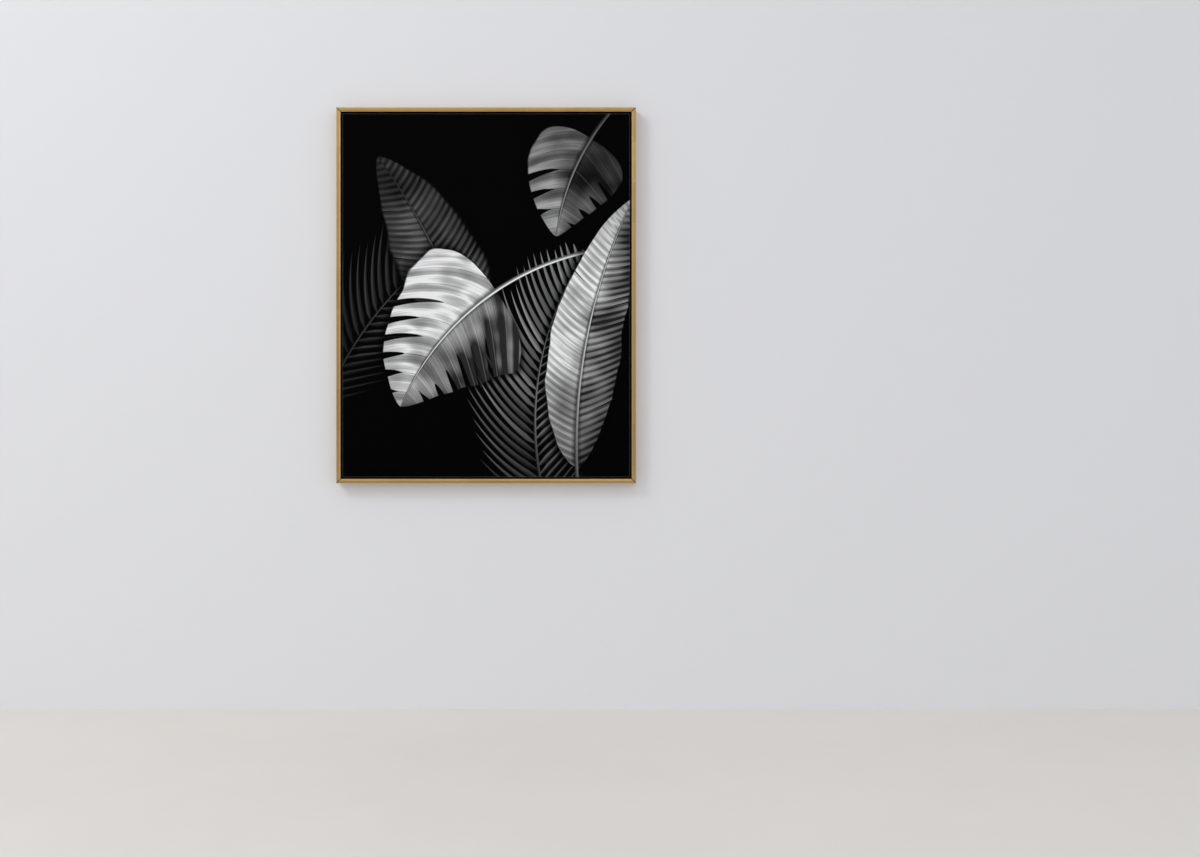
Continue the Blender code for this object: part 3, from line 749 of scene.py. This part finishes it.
def pigmentPrintOnCanvas():
    # Pigment ink on coated cotton canvas, matt varnished: deep flat blacks, neutral greys with a
    # fine grain, a soft thread texture, and a grey line along the folds that is partly worn ink and
    # partly a painted highlight where the rounded fold catches the light
    material, add = startNodes("pigmentPrintOnCanvas")
    plane = add("UVMap", uv_map="cloth")
    value = drawLeafPrint(add, plane)
    grain = [plane, 1 / canvasCloth["printGrain"], 1.0]
    grain = add("MapRange", [add("TexNoise", grain), 0.25, 0.75, 0.90, 1.10])
    value = add("MULTIPLY", [value, grain])

    # How far a point lies beyond the front's edge, round the fold and onto the back
    beyond = add("VectorMath ABSOLUTE", [plane])
    beyond = add("VectorMath SUBTRACT", [beyond, (*canvasHalf, 0.0)])
    overSide, overTop, _ = add("SeparateXYZ", [beyond]).node.outputs
    girth = add("MAXIMUM", [overSide, overTop])
    front = add("MapRange", [girth, -0.0012, -0.0006, 1.0, 0.0])
    value = add("Mix", [front, canvasCloth["ink"], value])
    # A grey line along the fold: partly ink worn off, partly a painted highlight where the fold
    # catches the light
    fold = add("ABSOLUTE", [add("ADD", [girth, 0.0004])])
    wearAndHighlight = add("TexNoise", [plane, 1 / canvasCloth["wearAndHighlightSize"], 4.0])
    fold = add("MapRange", [fold, 0.0012, 0.0028, 0.075, 0.0])
    value = add("MULTIPLY_ADD", [fold, wearAndHighlight, value])
    value = add("CombineColor", [value, value, value])
    bleed = sideDepth + canvasCloth["inkBleed"]
    coated = add("MapRange", [girth, bleed, bleed + 0.0006, 0.0, 1.0])
    colour = add("MixRGB", [coated, value, canvasCloth["coating"]])
    looks = {"Base Color": colour, "Roughness": 0.55, "Specular IOR Level": 0.025}
    return closeMaterial(material, add, looks, weaveHeight(add, plane), 0.00016)


def rawCottonCanvas():
    # The unprinted back of the cloth: cream cotton duck, dull, with a few flecks of husk
    material, add = startNodes("rawCottonCanvas")
    plane = add("UVMap", uv_map="cloth")
    fleck = add("TexNoise", [plane, 1 / canvasCloth["huskSize"], 2.0])
    fleck = add("MapRange", [fleck, 0.70, 0.76, 0.0, 0.6])
    colour = add("MixRGB", [fleck, canvasCloth["cotton"], canvasCloth["husk"]])
    looks = {"Base Color": colour, "Roughness": 0.92, "Specular IOR Level": 0.2}
    return closeMaterial(material, add, looks, weaveHeight(add, plane), 0.00022)


def clothStations():
    # The cloth's way round the edge of the bars, as (inset, y, distance past the front's edge)
    radius, backRadius = canvasCloth["foldRadius"], canvasCloth["backFoldRadius"]
    stations = []
    for step in range(1, 5):
        angle = math.radians(90 * step / 4)
        inset = canvasInset + radius * (1 - math.sin(angle))
        stations.append((inset, canvasLow.y + radius * (1 - math.cos(angle)), radius * (angle - 1)))
    straight = sideDepth - radius - backRadius
    roundFold = radius * 0.57  # what the fold's arc adds past its radius
    for step in range(1, canvasCloth["sideRows"] + 1):
        reach = straight * step / canvasCloth["sideRows"]
        stations.append((canvasInset, canvasLow.y + radius + reach, roundFold + reach))
    for step in range(1, 4):
        angle = math.radians(90 * step / 3)
        inset = canvasInset + backRadius * (1 - math.cos(angle))
        past = sideDepth - backRadius + backRadius * angle * 0.64
        stations.append((inset, turnInY - backRadius * (1 - math.sin(angle)), past))
    for step in range(1, canvasCloth["turnInRows"] + 1):
        reach = (canvasCloth["turnIn"] - backRadius) * step / canvasCloth["turnInRows"]
        stations.append((canvasInset + backRadius + reach, turnInY, sideDepth + backRadius + reach))
    return stations


def mapCloth(bm, girth):
    # The flat cloth in metres from its middle, so that threads keep their size round the folds
    cloth = bm.loops.layers.uv.new("cloth")
    beforeFold = -0.0019
    for face in bm.faces:
        centre = face.calc_center_median() - middle
        past = sum(vert[girth] for vert in face.verts) / len(face.verts)
        upright = abs(centre.x) - canvasHalf[0] > abs(centre.z) - canvasHalf[1]
        for loop in face.loops:
            x, z = loop.vert.co.x, loop.vert.co.z - middle.z
            out = loop.vert[girth]
            if past > beforeFold and upright:
                x = math.copysign(canvasHalf[0] + out, centre.x)
            elif past > beforeFold:
                z = math.copysign(canvasHalf[1] + out, centre.z)
            loop[cloth].uv = (x, z)


def tensionWave(vert):
    # A stretched cloth stays a little slack in slow waves, and dips towards its middle
    x, z = vert.co.x, vert.co.z - middle.z
    edge = min(canvasHalf[0] - abs(x), canvasHalf[1] - abs(z))
    hold = (edge - canvasCloth["tightEdge"]) / canvasCloth["slackWithin"]
    hold = min(1.0, max(0.0, hold))
    scaled = Vector((x, z, 3.1)) / canvasCloth["waveLength"]
    return hold * hold * (3 - 2 * hold) * canvasCloth["waveDepth"] * (0.8 + noise.noise(scaled))


def puckerEdge(vert, turned):
    # Between two staples the turned-in cloth stands a little off the bar, and its cut edge frays
    x, z = vert.co.x, vert.co.z - middle.z
    run = x if canvasHalf[1] - abs(z) < canvasHalf[0] - abs(x) else z
    held = 0.5 - 0.5 * math.cos(2 * math.pi * (run / stapleEvery + 0.5))
    vert.co.y -= canvasCloth["pucker"] * (1 - held) * turned
    if turned > 0.95:
        fray = noise.noise(Vector((x, 0.0, z)) * canvasCloth["fraysPerMetre"])
        fray *= canvasCloth["fray"]
        vert.co.x += math.copysign(fray, x)
        vert.co.z += math.copysign(fray, z)


def makeCanvas():
    start = [size - canvasCloth["foldRadius"] for size in canvasHalf]
    place = Matrix.Translation(middle + Vector((0.0, canvasLow.y, 0.0)))
    place = place @ turned(90, "X") @ Matrix.Diagonal((*start, 1.0, 1.0))
    cells = {"x_segments": canvasCloth["columns"], "y_segments": canvasCloth["rows"]}
    bm = bmesh.new()
    bmesh.ops.create_grid(bm, size=1.0, matrix=place, **cells)
    girth = bm.verts.layers.float.new("girth")
    for vert in bm.verts:
        vert[girth] = -0.01  # well inside the edge
        vert.co.y += tensionWave(vert)
    rim = [edge for edge in bm.edges if edge.is_boundary]
    for vert in {vert for edge in rim for vert in edge.verts}:
        vert[girth] = -canvasCloth["foldRadius"]
    now, depth = start, canvasLow.y
    for inset, y, past in clothStations():
        grown = bmesh.ops.extrude_edge_only(bm, edges=rim)["geom"]
        ring = [item for item in grown if isinstance(item, bmesh.types.BMVert)]
        rim = [item for item in grown if isinstance(item, bmesh.types.BMEdge)]
        to = [halfWidth - inset, halfHeight - inset]
        grow, fromMiddle = (to[0] / now[0], 1.0, to[1] / now[1]), Matrix.Translation(-middle)
        bmesh.ops.scale(bm, vec=grow, verts=ring, space=fromMiddle)
        bmesh.ops.translate(bm, vec=(0.0, y - depth, 0.0), verts=ring)
        now, depth = to, y
        turnedIn = (past - sideDepth) / canvasCloth["turnIn"]
        for vert in ring:
            vert[girth] = past
            if turnedIn > 0.1:
                puckerEdge(vert, turnedIn)
    mapCloth(bm, girth)
    finishes = [pigmentPrintOnCanvas(), rawCottonCanvas()]
    canvas = finishPiece(
        "stretched_canvas", bm, finishes, ["canvas"], smoothDeg=50
    )
    shell = canvas.modifiers.new("clothThickness", "SOLIDIFY")
    shell.thickness = canvasCloth["thickness"]
    shell.offset = -1.0
    shell.material_offset = 1
    shell.material_offset_rim = 1
    folds = [makeCornerFold(corner, finishes[:1]) for corner in corners]


# The level side's turn-in at a corner, folded over the upright's
cornerFold = {
    "fromEdge": 0.0012, "fromHem": 0.0008, "lap": 0.009, "overrun": 0.006,
    "sunk": 0.0002, "thickness": 0.0007, "roundness": 0.00025,
}


def makeCornerFold(corner, finish):
    # Its end is turned under at 45 degrees
    alongX, alongZ = corners[corner]
    low = canvasInset + cornerFold["fromEdge"]
    high, lap = canvasInset + canvasCloth["turnIn"] - cornerFold["fromHem"], cornerFold["lap"]
    outline = [(low + lap, low), (high + cornerFold["overrun"], high)]
    outline += [(high - lap, high), (low, low + lap)]
    points = []
    for inset, drop in outline:
        x = alongX * (halfWidth - inset)
        z = middle.z + alongZ * (halfHeight - drop)
        points.append((x, turnInY - cornerFold["sunk"], z))
    bm = pull(points, (0.0, cornerFold["thickness"], 0.0))
    roundEdges(bm, bm.edges[:], cornerFold["roundness"])
    cloth = bm.loops.layers.uv.new("cloth")
    for face in bm.faces:
        for loop in face.loops:
            drop = halfHeight - abs(loop.vert.co.z - middle.z)
            out = sideDepth + drop - canvasInset
            loop[cloth].uv = (loop.vert.co.x * 0.9, alongZ * (halfHeight - canvasInset + out))
    return finishPiece(f"canvas_fold_{corner}", bm, finish)


# Stretcher bars: planed pine with a raised bead that alone touches the canvas
barFront = barLow.y - faceY
barBack = barHigh.y - faceY
stretcher = {
    "section": [
        (barOuter, barBack, 0.0010),
        (barOuter, barFront, 0.0018),
        (barOuter + 0.006, barFront, 0.0010),
        (barInner, barFront + 0.003, 0.0010),
        (barInner, barBack, 0.0014),
    ],
    "mitreRound": 0.0004,
    "eased": 0.0009,
}
barPine = {
    "early": "#E2C595", "late": "#B5854E", "knot": "#7C4E29",
    "heart": (0.0, -0.030, 0.055), "ringSpacing": 0.0031,
    "wander": 0.012, "wanderSize": 0.0625, "shadeSize": 0.2, "fibreWidth": 0.0012,
    "knotEvery": 0.13, "knotShare": 0.42, "knotRadius": 0.0075, "knotRing": 0.0018,
    "roughness": 0.52, "relief": 0.00016,
}
bracePine = barPine | {"early": "#DDBE8C", "late": "#AE7D47", "heart": (0.0, 0.019, -0.026)}
keyBeech = barPine | {"early": "#D6B88F", "late": "#B8935F"}
keyBeech |= {"ringSpacing": 0.0016, "fibreWidth": 0.0006, "knotShare": 0.0}


def makeBars():
    finish = planedPine("planedPine", barPine)
    pieces = []
    for side in sides:
        name, node = f"pine_bar_{side}", f"stretcher_{side}"
        bm, _ = mitredLength(stretcher["section"], side, stretcher["mitreRound"])
        pieces.append(finishPiece(name, bm, [finish], [node], toSide(side)))
    return [piece.name for piece in pieces]


def makeBraces():
    # An upright and a level brace, halved where they cross
    finish = planedPine("planedPineBrace", bracePine)
    for label, turn, notchAtBack in (("upright", 90, True), ("level", 0, False)):
        node = f"brace_{label}"
        low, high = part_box(node)
        size = high - low
        halfLong, halfAcross = max(size.x, size.z) / 2, min(size.x, size.z) / 2
        notch, seat = halfAcross + mitreGap, (low.y + high.y) / 2
        near, away = (high.y, low.y) if notchAtBack else (low.y, high.y)
        outline = [(-halfLong, away), (halfLong, away), (halfLong, near), (notch, near)]
        outline += [(notch, seat), (-notch, seat), (-notch, near), (-halfLong, near)]
        bm = pull([(x, y, -halfAcross) for x, y in outline], (0.0, 0.0, 2 * halfAcross))
        roundEdges(bm, bm.edges[:], stretcher["eased"])
        markGrain(bm, halfAcross, low.y, 17.0 + turn)
        place = Matrix.Translation(middle) @ turned(turn, "Y")
        finishPiece(f"pine_{node}", bm, [finish], [node], place)


# Corner keys: wedges driven beside each bar at the inner corners, given from that corner
cornerKey = {
    "outline": [(-0.0085, -0.0100), (0.024, -0.004), (0.024, 0.009), (-0.0005, -0.0012)],
    "eased": 0.0004,
}


def makeKeys():
    finish = planedPine("beechKey", keyBeech)
    swapXZ = Matrix(((0, 0, 1, 0), (0, 1, 0, 0), (1, 0, 0, 0), (0, 0, 0, 1)))
    for corner, (alongX, alongZ) in sorted(corners.items()):
        spot = (alongX * (halfWidth - barInner), 0.0, alongZ * (halfHeight - barInner))
        toCorner = Matrix.Translation(middle + Vector(spot))
        toCorner = toCorner @ Matrix.Diagonal((-alongX, 1.0, -alongZ, 1.0))
        for way, place in (("level", toCorner), ("upright", toCorner @ swapXZ)):
            node = f"key_{corner}_{way}"
            low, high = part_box(node)
            points = [(along, low.y, across) for along, across in cornerKey["outline"]]
            bm = pull(points, (0.0, high.y - low.y, 0.0))
            roundEdges(bm, bm.edges[:], cornerKey["eased"])
            markGrain(bm, 0.0, low.y, 5.0 + alongX + 3 * alongZ)
            finishPiece(f"beech_{node}", bm, [finish], [node], place)


barPieces = makeBars()
makeBraces()
makeKeys()
print("Pine bars, braces and keys done")
makeCanvas()
print("Canvas done")

# Metal fixings
fixings = {
    "screwProfile": [  # radius and height, as shares of the head's radius
        (0.0, 0.65), (0.46, 0.62), (0.74, 0.53), (0.92, 0.38), (1.0, 0.20),
        (1.0, 0.0), (0.45, 0.0), (0.45, -1.4), (0.0, -1.4),
    ],
    "recessArm": 0.60,
    "recessHalf": 0.11,
    "recessDepth": 0.34,
    "recessTaper": 0.62,
    "stapleHalf": 0.005,
    "stapleWire": 0.0006,
    "stapleLeg": 0.0014,
    "stapleWidth": 0.0010,
    "fromCorner": 0.075,  # the first staple's place along its bar
    "stapleStray": (0.004, 0.0012, 7),  # along, across and in degrees
    "pinInsets": (0.011, 0.031),
    "pinArm": 0.0062,
    "pinGauge": 0.0009,
    "spangle": 0.0012,
    "platingCloud": 1 / 900,  # of a metre, so 1.1 mm
}


def zincPlatedSteel(name, tint, roughness):
    # Drawn or pressed steel, bright zinc plated: a cool, slightly cloudy metal with faint spangle
    material, add = startNodes(name)
    place = add("TexCoord", output="Object")
    cloud = add("TexNoise", [place, 1 / fixings["platingCloud"], 3.0])
    crystal = {"Vector": place, "Scale": 1 / fixings["spangle"]}
    spangle = add("SeparateXYZ", [add("TexVoronoi", crystal, output="Color")])
    shade = add("MULTIPLY_ADD", [spangle, 0.10, 0.86])
    shade = add("MULTIPLY_ADD", [cloud, 0.08, shade])
    colour = add("VectorMath SCALE", [tint, shade])
    rough = add("MULTIPLY_ADD", [cloud, 0.20, roughness])
    looks = {"Base Color": colour, "Metallic": 1.0, "Roughness": rough}
    return closeMaterial(material, add, looks, cloud, 0.00004)


def screwMaster():
    # A pan head with a cross recess, its head's radius 1 and its axis along +Z
    head = meshObject("screwHead", turnOnLathe(fixings["screwProfile"], 32))
    arm, half = fixings["recessArm"], fixings["recessHalf"]
    quarter = [Vector((half, half)), Vector((arm, half)), Vector((arm, -half))]
    outline = []
    for turn in range(4):
        spun = Matrix.Rotation(math.radians(90 * turn), 2)
        outline += [spun.inverted() @ point for point in quarter]
    floor = fixings["screwProfile"][0][1] - fixings["recessDepth"]
    cross = pull([(x, y, floor) for x, y in outline], (0.0, 0.0, 1.0))
    # The recess narrows towards its floor
    foot = [vert for vert in cross.verts if vert.co.z < floor + 0.001]
    taper = fixings["recessTaper"]
    bmesh.ops.scale(cross, vec=(taper, taper, 1.0), verts=foot)
    cutter = meshObject("crossRecess", cross)
    recess = head.modifiers.new("recess", "BOOLEAN")
    recess.operation = "DIFFERENCE"
    recess.solver = "EXACT"
    recess.object = cutter
    ready = head.evaluated_get(bpy.context.evaluated_depsgraph_get())
    done = bpy.data.meshes.new_from_object(ready)
    for spare in (head, cutter):
        bpy.data.objects.remove(spare)
    bm = bmesh.new()
    bm.from_mesh(done)
    bmesh.ops.dissolve_degenerate(bm, dist=1e-3, edges=bm.edges)
    return toMesh("screwMaster", bm)


def makeScrews():
    finish = zincPlatedSteel("zincPlatedSteel", "#C9CCCD", 0.24)
    master = screwMaster()
    luck = random.Random(4)
    for node in sorted(frame["nodes"]):
        if "_screw_" not in node:
            continue
        low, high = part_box(node)
        radius = (high.x - low.x) / 2
        top = fixings["screwProfile"][0][1] * radius
        bm = bmesh.new()
        bm.from_mesh(master)
        place = (
            Matrix.Translation(((low.x + high.x) / 2, high.y - top, (low.z + high.z) / 2))
            @ turned(-90, "X")
            @ turned(luck.uniform(0, 90), "Z")
            @ Matrix.Diagonal((radius, radius, radius, 1.0))
        )
        finishPiece(f"pan_head_{node}", bm, [finish], [node], place, 30)


def scatter(name, single, places, finish):
    # One piece of many copies of a small shape
    shape = toMesh("single", single)
    bm = bmesh.new()
    for place in places:
        fresh = len(bm.verts)
        bm.from_mesh(shape)
        bm.verts.ensure_lookup_table()
        bmesh.ops.transform(bm, matrix=place, verts=bm.verts[fresh:])
    finishPiece(name, bm, [finish])


def makeStaples():
    finish = zincPlatedSteel("galvanisedWire", "#B9BBB8", 0.30)
    half, wire, leg = fixings["stapleHalf"], fixings["stapleWire"], fixings["stapleLeg"]
    width, shoulder, slant = fixings["stapleWidth"], wire * 0.4, wire * 0.6
    outline = [(-half, -leg), (-half, shoulder), (-half + slant, wire)]
    outline += [(half - slant, wire), (half, shoulder), (half, -leg)]
    outline += [(half - wire, -leg), (half - wire, 0.0), (wire - half, 0.0), (wire - half, -leg)]
    single = pull([(x, y, -width / 2) for x, y in outline], (0.0, 0.0, width))
    roundEdges(single, single.edges[:], wire * 0.2, 1)
    luck = random.Random(11)
    strayAlong, strayAcross, strayTurn = fixings["stapleStray"]
    places = []
    for side in sides:
        halfLong, halfAcross = halves(side)
        reach = halfLong - fixings["fromCorner"]
        count = round(2 * reach / stapleEvery)
        for index in range(count + 1):
            along = -reach + 2 * reach * index / count + luck.uniform(-strayAlong, strayAlong)
            inset = stapleInset + luck.uniform(-strayAcross, strayAcross)
            spot = Matrix.Translation((along, turnInY, halfAcross - inset))
            places.append(toSide(side) @ spot @ turned(luck.uniform(-strayTurn, strayTurn), "Y"))
    scatter("canvas_staples", single, places, finish)


def makeMitrePins():
    # Two small V pins driven across each mitre from behind
    finish = zincPlatedSteel("springSteelPin", "#8E9092", 0.34)
    arm, gauge = fixings["pinArm"], fixings["pinGauge"]
    outline = [(0, 0), (arm, arm), (arm + gauge, arm - gauge)]
    outline += [(0, -2 * gauge), (-arm - gauge, arm - gauge), (-arm, arm)]
    single = pull([(x, -0.002, z) for x, z in outline], (0.0, 0.0021, 0.0))
    places = []
    for alongX, alongZ in corners.values():
        turn = Matrix.Rotation(math.atan2(alongX, alongZ), 4, "Y")
        for inset in fixings["pinInsets"]:
            spot = (alongX * (halfWidth - inset), backY, alongZ * (halfHeight - inset))
            places.append(Matrix.Translation(middle + Vector(spot)) @ turn)
    scatter("mitre_pins", single, places, finish)


# Hanging rail: an extruded Z section, its hook standing off the plate
hangRail = {
    "gauge": 0.0018,
    "step": 0.008,
    "bendRound": 0.00072,
    "cutRound": 0.00015,
    "metal": "#BFC1C3",
    "dieLine": 0.0007,
    "cloudSize": 0.025,
}


def millFinishAluminium():
    # Extruded aluminium as it leaves the die: pale, softly shiny, with fine lines along its length
    material, add = startNodes("millFinishAluminium")
    place = add("TexCoord", output="Object")
    drawn = add("VectorMath MULTIPLY", [place, (0.004, 1.0, 1.0)])
    lines = add("TexNoise", [drawn, 1 / hangRail["dieLine"], 4.0])
    cloud = add("TexNoise", [place, 1 / hangRail["cloudSize"], 3.0])
    shade = add("MULTIPLY_ADD", [lines, 0.16, 0.84])
    colour = add("VectorMath SCALE", [hangRail["metal"], shade])
    rough = add("MULTIPLY_ADD", [cloud, 0.16, 0.28])
    rough = add("MULTIPLY_ADD", [lines, 0.14, rough])
    looks = {"Base Color": colour, "Metallic": 1.0, "Roughness": rough}
    return closeMaterial(material, add, looks, lines, 0.00005)


def makeHangingRail():
    low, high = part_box("hanging_rail")
    gauge, step = hangRail["gauge"], hangRail["step"]
    outline = [(low.y, high.z), (low.y, step), (high.y - gauge, step), (high.y - gauge, low.z)]
    outline += [(high.y, low.z), (high.y, step + gauge)]
    outline += [(low.y + gauge, step + gauge), (low.y + gauge, high.z)]
    bm = pull([(low.x, y, z) for y, z in outline], (high.x - low.x, 0.0, 0.0))
    bends = [edge for edge in bm.edges if abs(edge.verts[0].co.x - edge.verts[1].co.x) > 0.1]
    roundEdges(bm, bends, hangRail["bendRound"], 3)
    cuts = []
    for edge in bm.edges:
        if edge.is_convex and abs(edge.verts[0].co.x - edge.verts[1].co.x) < 1e-6:
            cuts.append(edge)
    roundEdges(bm, cuts, hangRail["cutRound"], 1)
    finish = millFinishAluminium()
    finishPiece("aluminium_rail", bm, [finish], ["hanging_rail"])


# Bumpers: moulded rubber feet that keep the picture parallel to the wall
bumper = {
    "rim": 0.0016,
    "dish": 0.0004,
    "dishFloor": 0.45,  # of its radius
    "skirt": 0.0006,
    "skirtOut": 0.0003,
    "rubber": "#3B3B3A",
    "dust": "#6C6A66",
    "grit": 0.0006,
    "dustSize": 0.00625,
}


def greyRubber():
    # Moulded rubber: dark grey, matt, with a fine sparked-mould texture and a bloom of dust
    material, add = startNodes("greyRubber")
    place = add("TexCoord", output="Object")
    grit = add("TexNoise", [place, 1 / bumper["grit"], 2.0])
    dust = add("TexNoise", [place, 1 / bumper["dustSize"], 3.0])
    dust = add("MapRange", [dust, 0.45, 0.75, 0.0, 0.35])
    colour = add("MixRGB", [dust, bumper["rubber"], bumper["dust"]])
    rough = add("MULTIPLY_ADD", [grit, 0.20, 0.66])
    return closeMaterial(material, add, {"Base Color": colour, "Roughness": rough}, grit, 0.00008)


def makeBumpers():
    finish = greyRubber()
    rim, dish, skirt = bumper["rim"], bumper["dish"], bumper["skirt"]
    for label in ("left", "right"):
        node = f"bumper_{label}"
        low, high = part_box(node)
        radius, tall = (high.x - low.x) / 2, high.y - low.y
        neck = radius - bumper["skirtOut"]
        profile = [(0.0, tall - dish), (radius * bumper["dishFloor"], tall - dish * 0.8)]
        for step in range(6):
            angle = math.radians(90 * (1 - step / 5))
            profile.append((neck - rim + rim * math.cos(angle), tall - rim * (1 - math.sin(angle))))
        profile += [(neck, skirt * 2), (radius, skirt), (radius, 0.0), (0.0, 0.0)]
        bm = turnOnLathe(profile, 48)
        centre = ((low.x + high.x) / 2, low.y, (low.z + high.z) / 2)
        place = Matrix.Translation(centre) @ turned(-90, "X")
        finishPiece(f"rubber_{node}", bm, [finish], [node], place, 30)


makeScrews()
makeStaples()
makeMitrePins()
makeHangingRail()
makeBumpers()
print("Screws, staples, pins, rail and bumpers done")

# Room: a pale wall and floor, soft light from the upper left, and the camera
room = {
    "wallY": 0.0004,
    "floorZ": -2.505,
    "reach": 9.0,
    "ceiling": 3.2,
    "wallPaint": "#E0E0E2",
    "stippleSize": 1 / 260,  # of a metre, so 3.8 mm
    "floorPaint": "#DAD6CF",
    "floorCloud": 1 / 3,
    "throughReach": 0.15,  # how far off the wall the picture's back still gets light through it
    "throughMargin": 0.06,  # and how far round the picture
    "sky": "#F4F6FA",
    "skyAround": 1.06,
    "skyFacing": 0.18,  # out from the wall, where the room is deepest
    "deepest": (-0.10, -0.93, -0.36),
    "skySeen": 0.80,
    "patches": 2.6,  # across the width of the sky
    "sideLight": (Vector((-1.10, -1.00, 1.10)), 8.0, 2.2, 150.0),  # from, away, size, power
    "rearLight": (Vector((-0.9, 1.6, 1.1)), 3.6, 2.4, 30.0),
    "cameraPlace": (0.4787, -4.954, -1.314),  # a little right of the picture and below its middle
    "lens": 35.0,
}


def matWallPaint():
    # Roller-painted plaster: pale and dull, with a faint stipple. It shows from the room's side
    # only, so that the back of the picture can be seen and gets light.
    material, add = startNodes("matWallPaint")
    place = add("TexCoord", output="Object")
    stipple = add("TexNoise", [place, 1 / room["stippleSize"], 2.0])
    bump = add("Bump", {"Height": stipple, "Distance": 0.00015})
    looks = {"Base Color": room["wallPaint"], "Roughness": 0.85}
    paint = add("BsdfPrincipled", looks | {"Normal": bump, "Specular IOR Level": 0.2})
    fromBack = add("NewGeometry", output="Backfacing")
    path = add("LightPath").node.outputs
    short = add("LESS_THAN", [path["Ray Length"], room["throughReach"]])
    across, _, up = add("SeparateXYZ", [place]).node.outputs
    for spot, centre, reach in ((across, 0.0, halfWidth), (up, middle.z, halfHeight)):
        behind = add("COMPARE", [spot, centre, reach + room["throughMargin"]])
        short = add("MULTIPLY", [short, behind])
    short = add("SUBTRACT", [short, path["Is Camera Ray"]], use_clamp=True)
    gone = add("MAXIMUM", [fromBack, short])
    add("OutputMaterial", [add("MixShader", [gone, paint, add("BsdfTransparent")])])
    return material


def paleFloorPaint():
    # Smooth painted boards, a little cloudy. From below it can't be seen, and the picture can.
    material, add = startNodes("paleFloorPaint")
    place = add("TexCoord", output="Object")
    cloud = add("TexNoise", [place, 1 / room["floorCloud"], 3.0])
    shade = add("MULTIPLY_ADD", [cloud, 0.05, 0.97])
    colour = add("VectorMath SCALE", [room["floorPaint"], shade])
    paint = add("BsdfPrincipled", {"Base Color": colour, "Roughness": 0.6})
    fromBelow = add("NewGeometry", output="Backfacing")
    add("OutputMaterial", [add("MixShader", [fromBelow, paint, add("BsdfTransparent")])])
    return material


def makeRoom():
    tall = (room["ceiling"] - room["floorZ"]) / 2
    wallPlace = Matrix.Translation((0.0, room["wallY"], room["floorZ"] + tall)) @ turned(90, "X")
    wallPlace = wallPlace @ Matrix.Diagonal((room["reach"], tall, 1.0, 1.0))
    floorPlace = Matrix.Translation((0.0, 0.0, room["floorZ"])) @ Matrix.Scale(room["reach"], 4)
    finishes = (matWallPaint(), paleFloorPaint())
    for name, place, finish in zip(("wall", "floor"), (wallPlace, floorPlace), finishes):
        bm = bmesh.new()
        bmesh.ops.create_grid(bm, x_segments=1, y_segments=1, size=1.0, matrix=place)
        meshObject(name, bm, [finish])


def makeLight(name):
    direction, away, size, power = room[name]
    light = bpy.data.lights.new(name, "AREA")
    light.size = size
    light.energy = power
    lamp = bpy.data.objects.new(name, light)
    toward = direction.normalized()
    lamp.location = middle + toward * away
    lamp.rotation_euler = toward.to_track_quat("Z", "Y").to_euler()
    lamp.visible_camera = False
    bpy.context.scene.collection.objects.link(lamp)


def makeCamera():
    # It looks squarely at the wall
    camera = bpy.data.objects.new("camera", bpy.data.cameras.new("camera"))
    camera.data.lens = room["lens"]
    camera.data.sensor_width = 36.0
    camera.location = room["cameraPlace"]
    camera.rotation_euler = (math.radians(90), 0.0, 0.0)
    bpy.context.scene.collection.objects.link(camera)
    bpy.context.scene.camera = camera


def makeWorld():
    # A pale room: darker out from the wall, brighter round about, plain behind the picture
    world, add = startNodes("paleStudio", "worlds")
    toward = add("TexCoord", output="Generated")
    outward = add("VectorMath DOT_PRODUCT", [toward, room["deepest"]], output="Value")
    strength = [outward, 0.72, 0.98, room["skyAround"], room["skyFacing"]]
    strength = add("MapRange SMOOTHSTEP", strength)
    # Lighter and darker patches, for the metal to reflect
    patches = add("TexNoise", [toward, room["patches"], 1.0])
    patches = add("MapRange SMOOTHSTEP", [patches, 0.36, 0.64, 0.74, 1.26])
    strength = add("MULTIPLY", [strength, patches])
    seen = add("LightPath", output="Is Camera Ray")
    strength = add("Mix", [seen, strength, room["skySeen"]])
    add("OutputWorld", [add("Background", [room["sky"], strength])])
    bpy.context.scene.world = world


makeRoom()
makeWorld()
makeLight("sideLight")
makeLight("rearLight")
makeCamera()
bpy.context.scene.view_settings.view_transform = "Standard"
print("Room, lights and camera done")
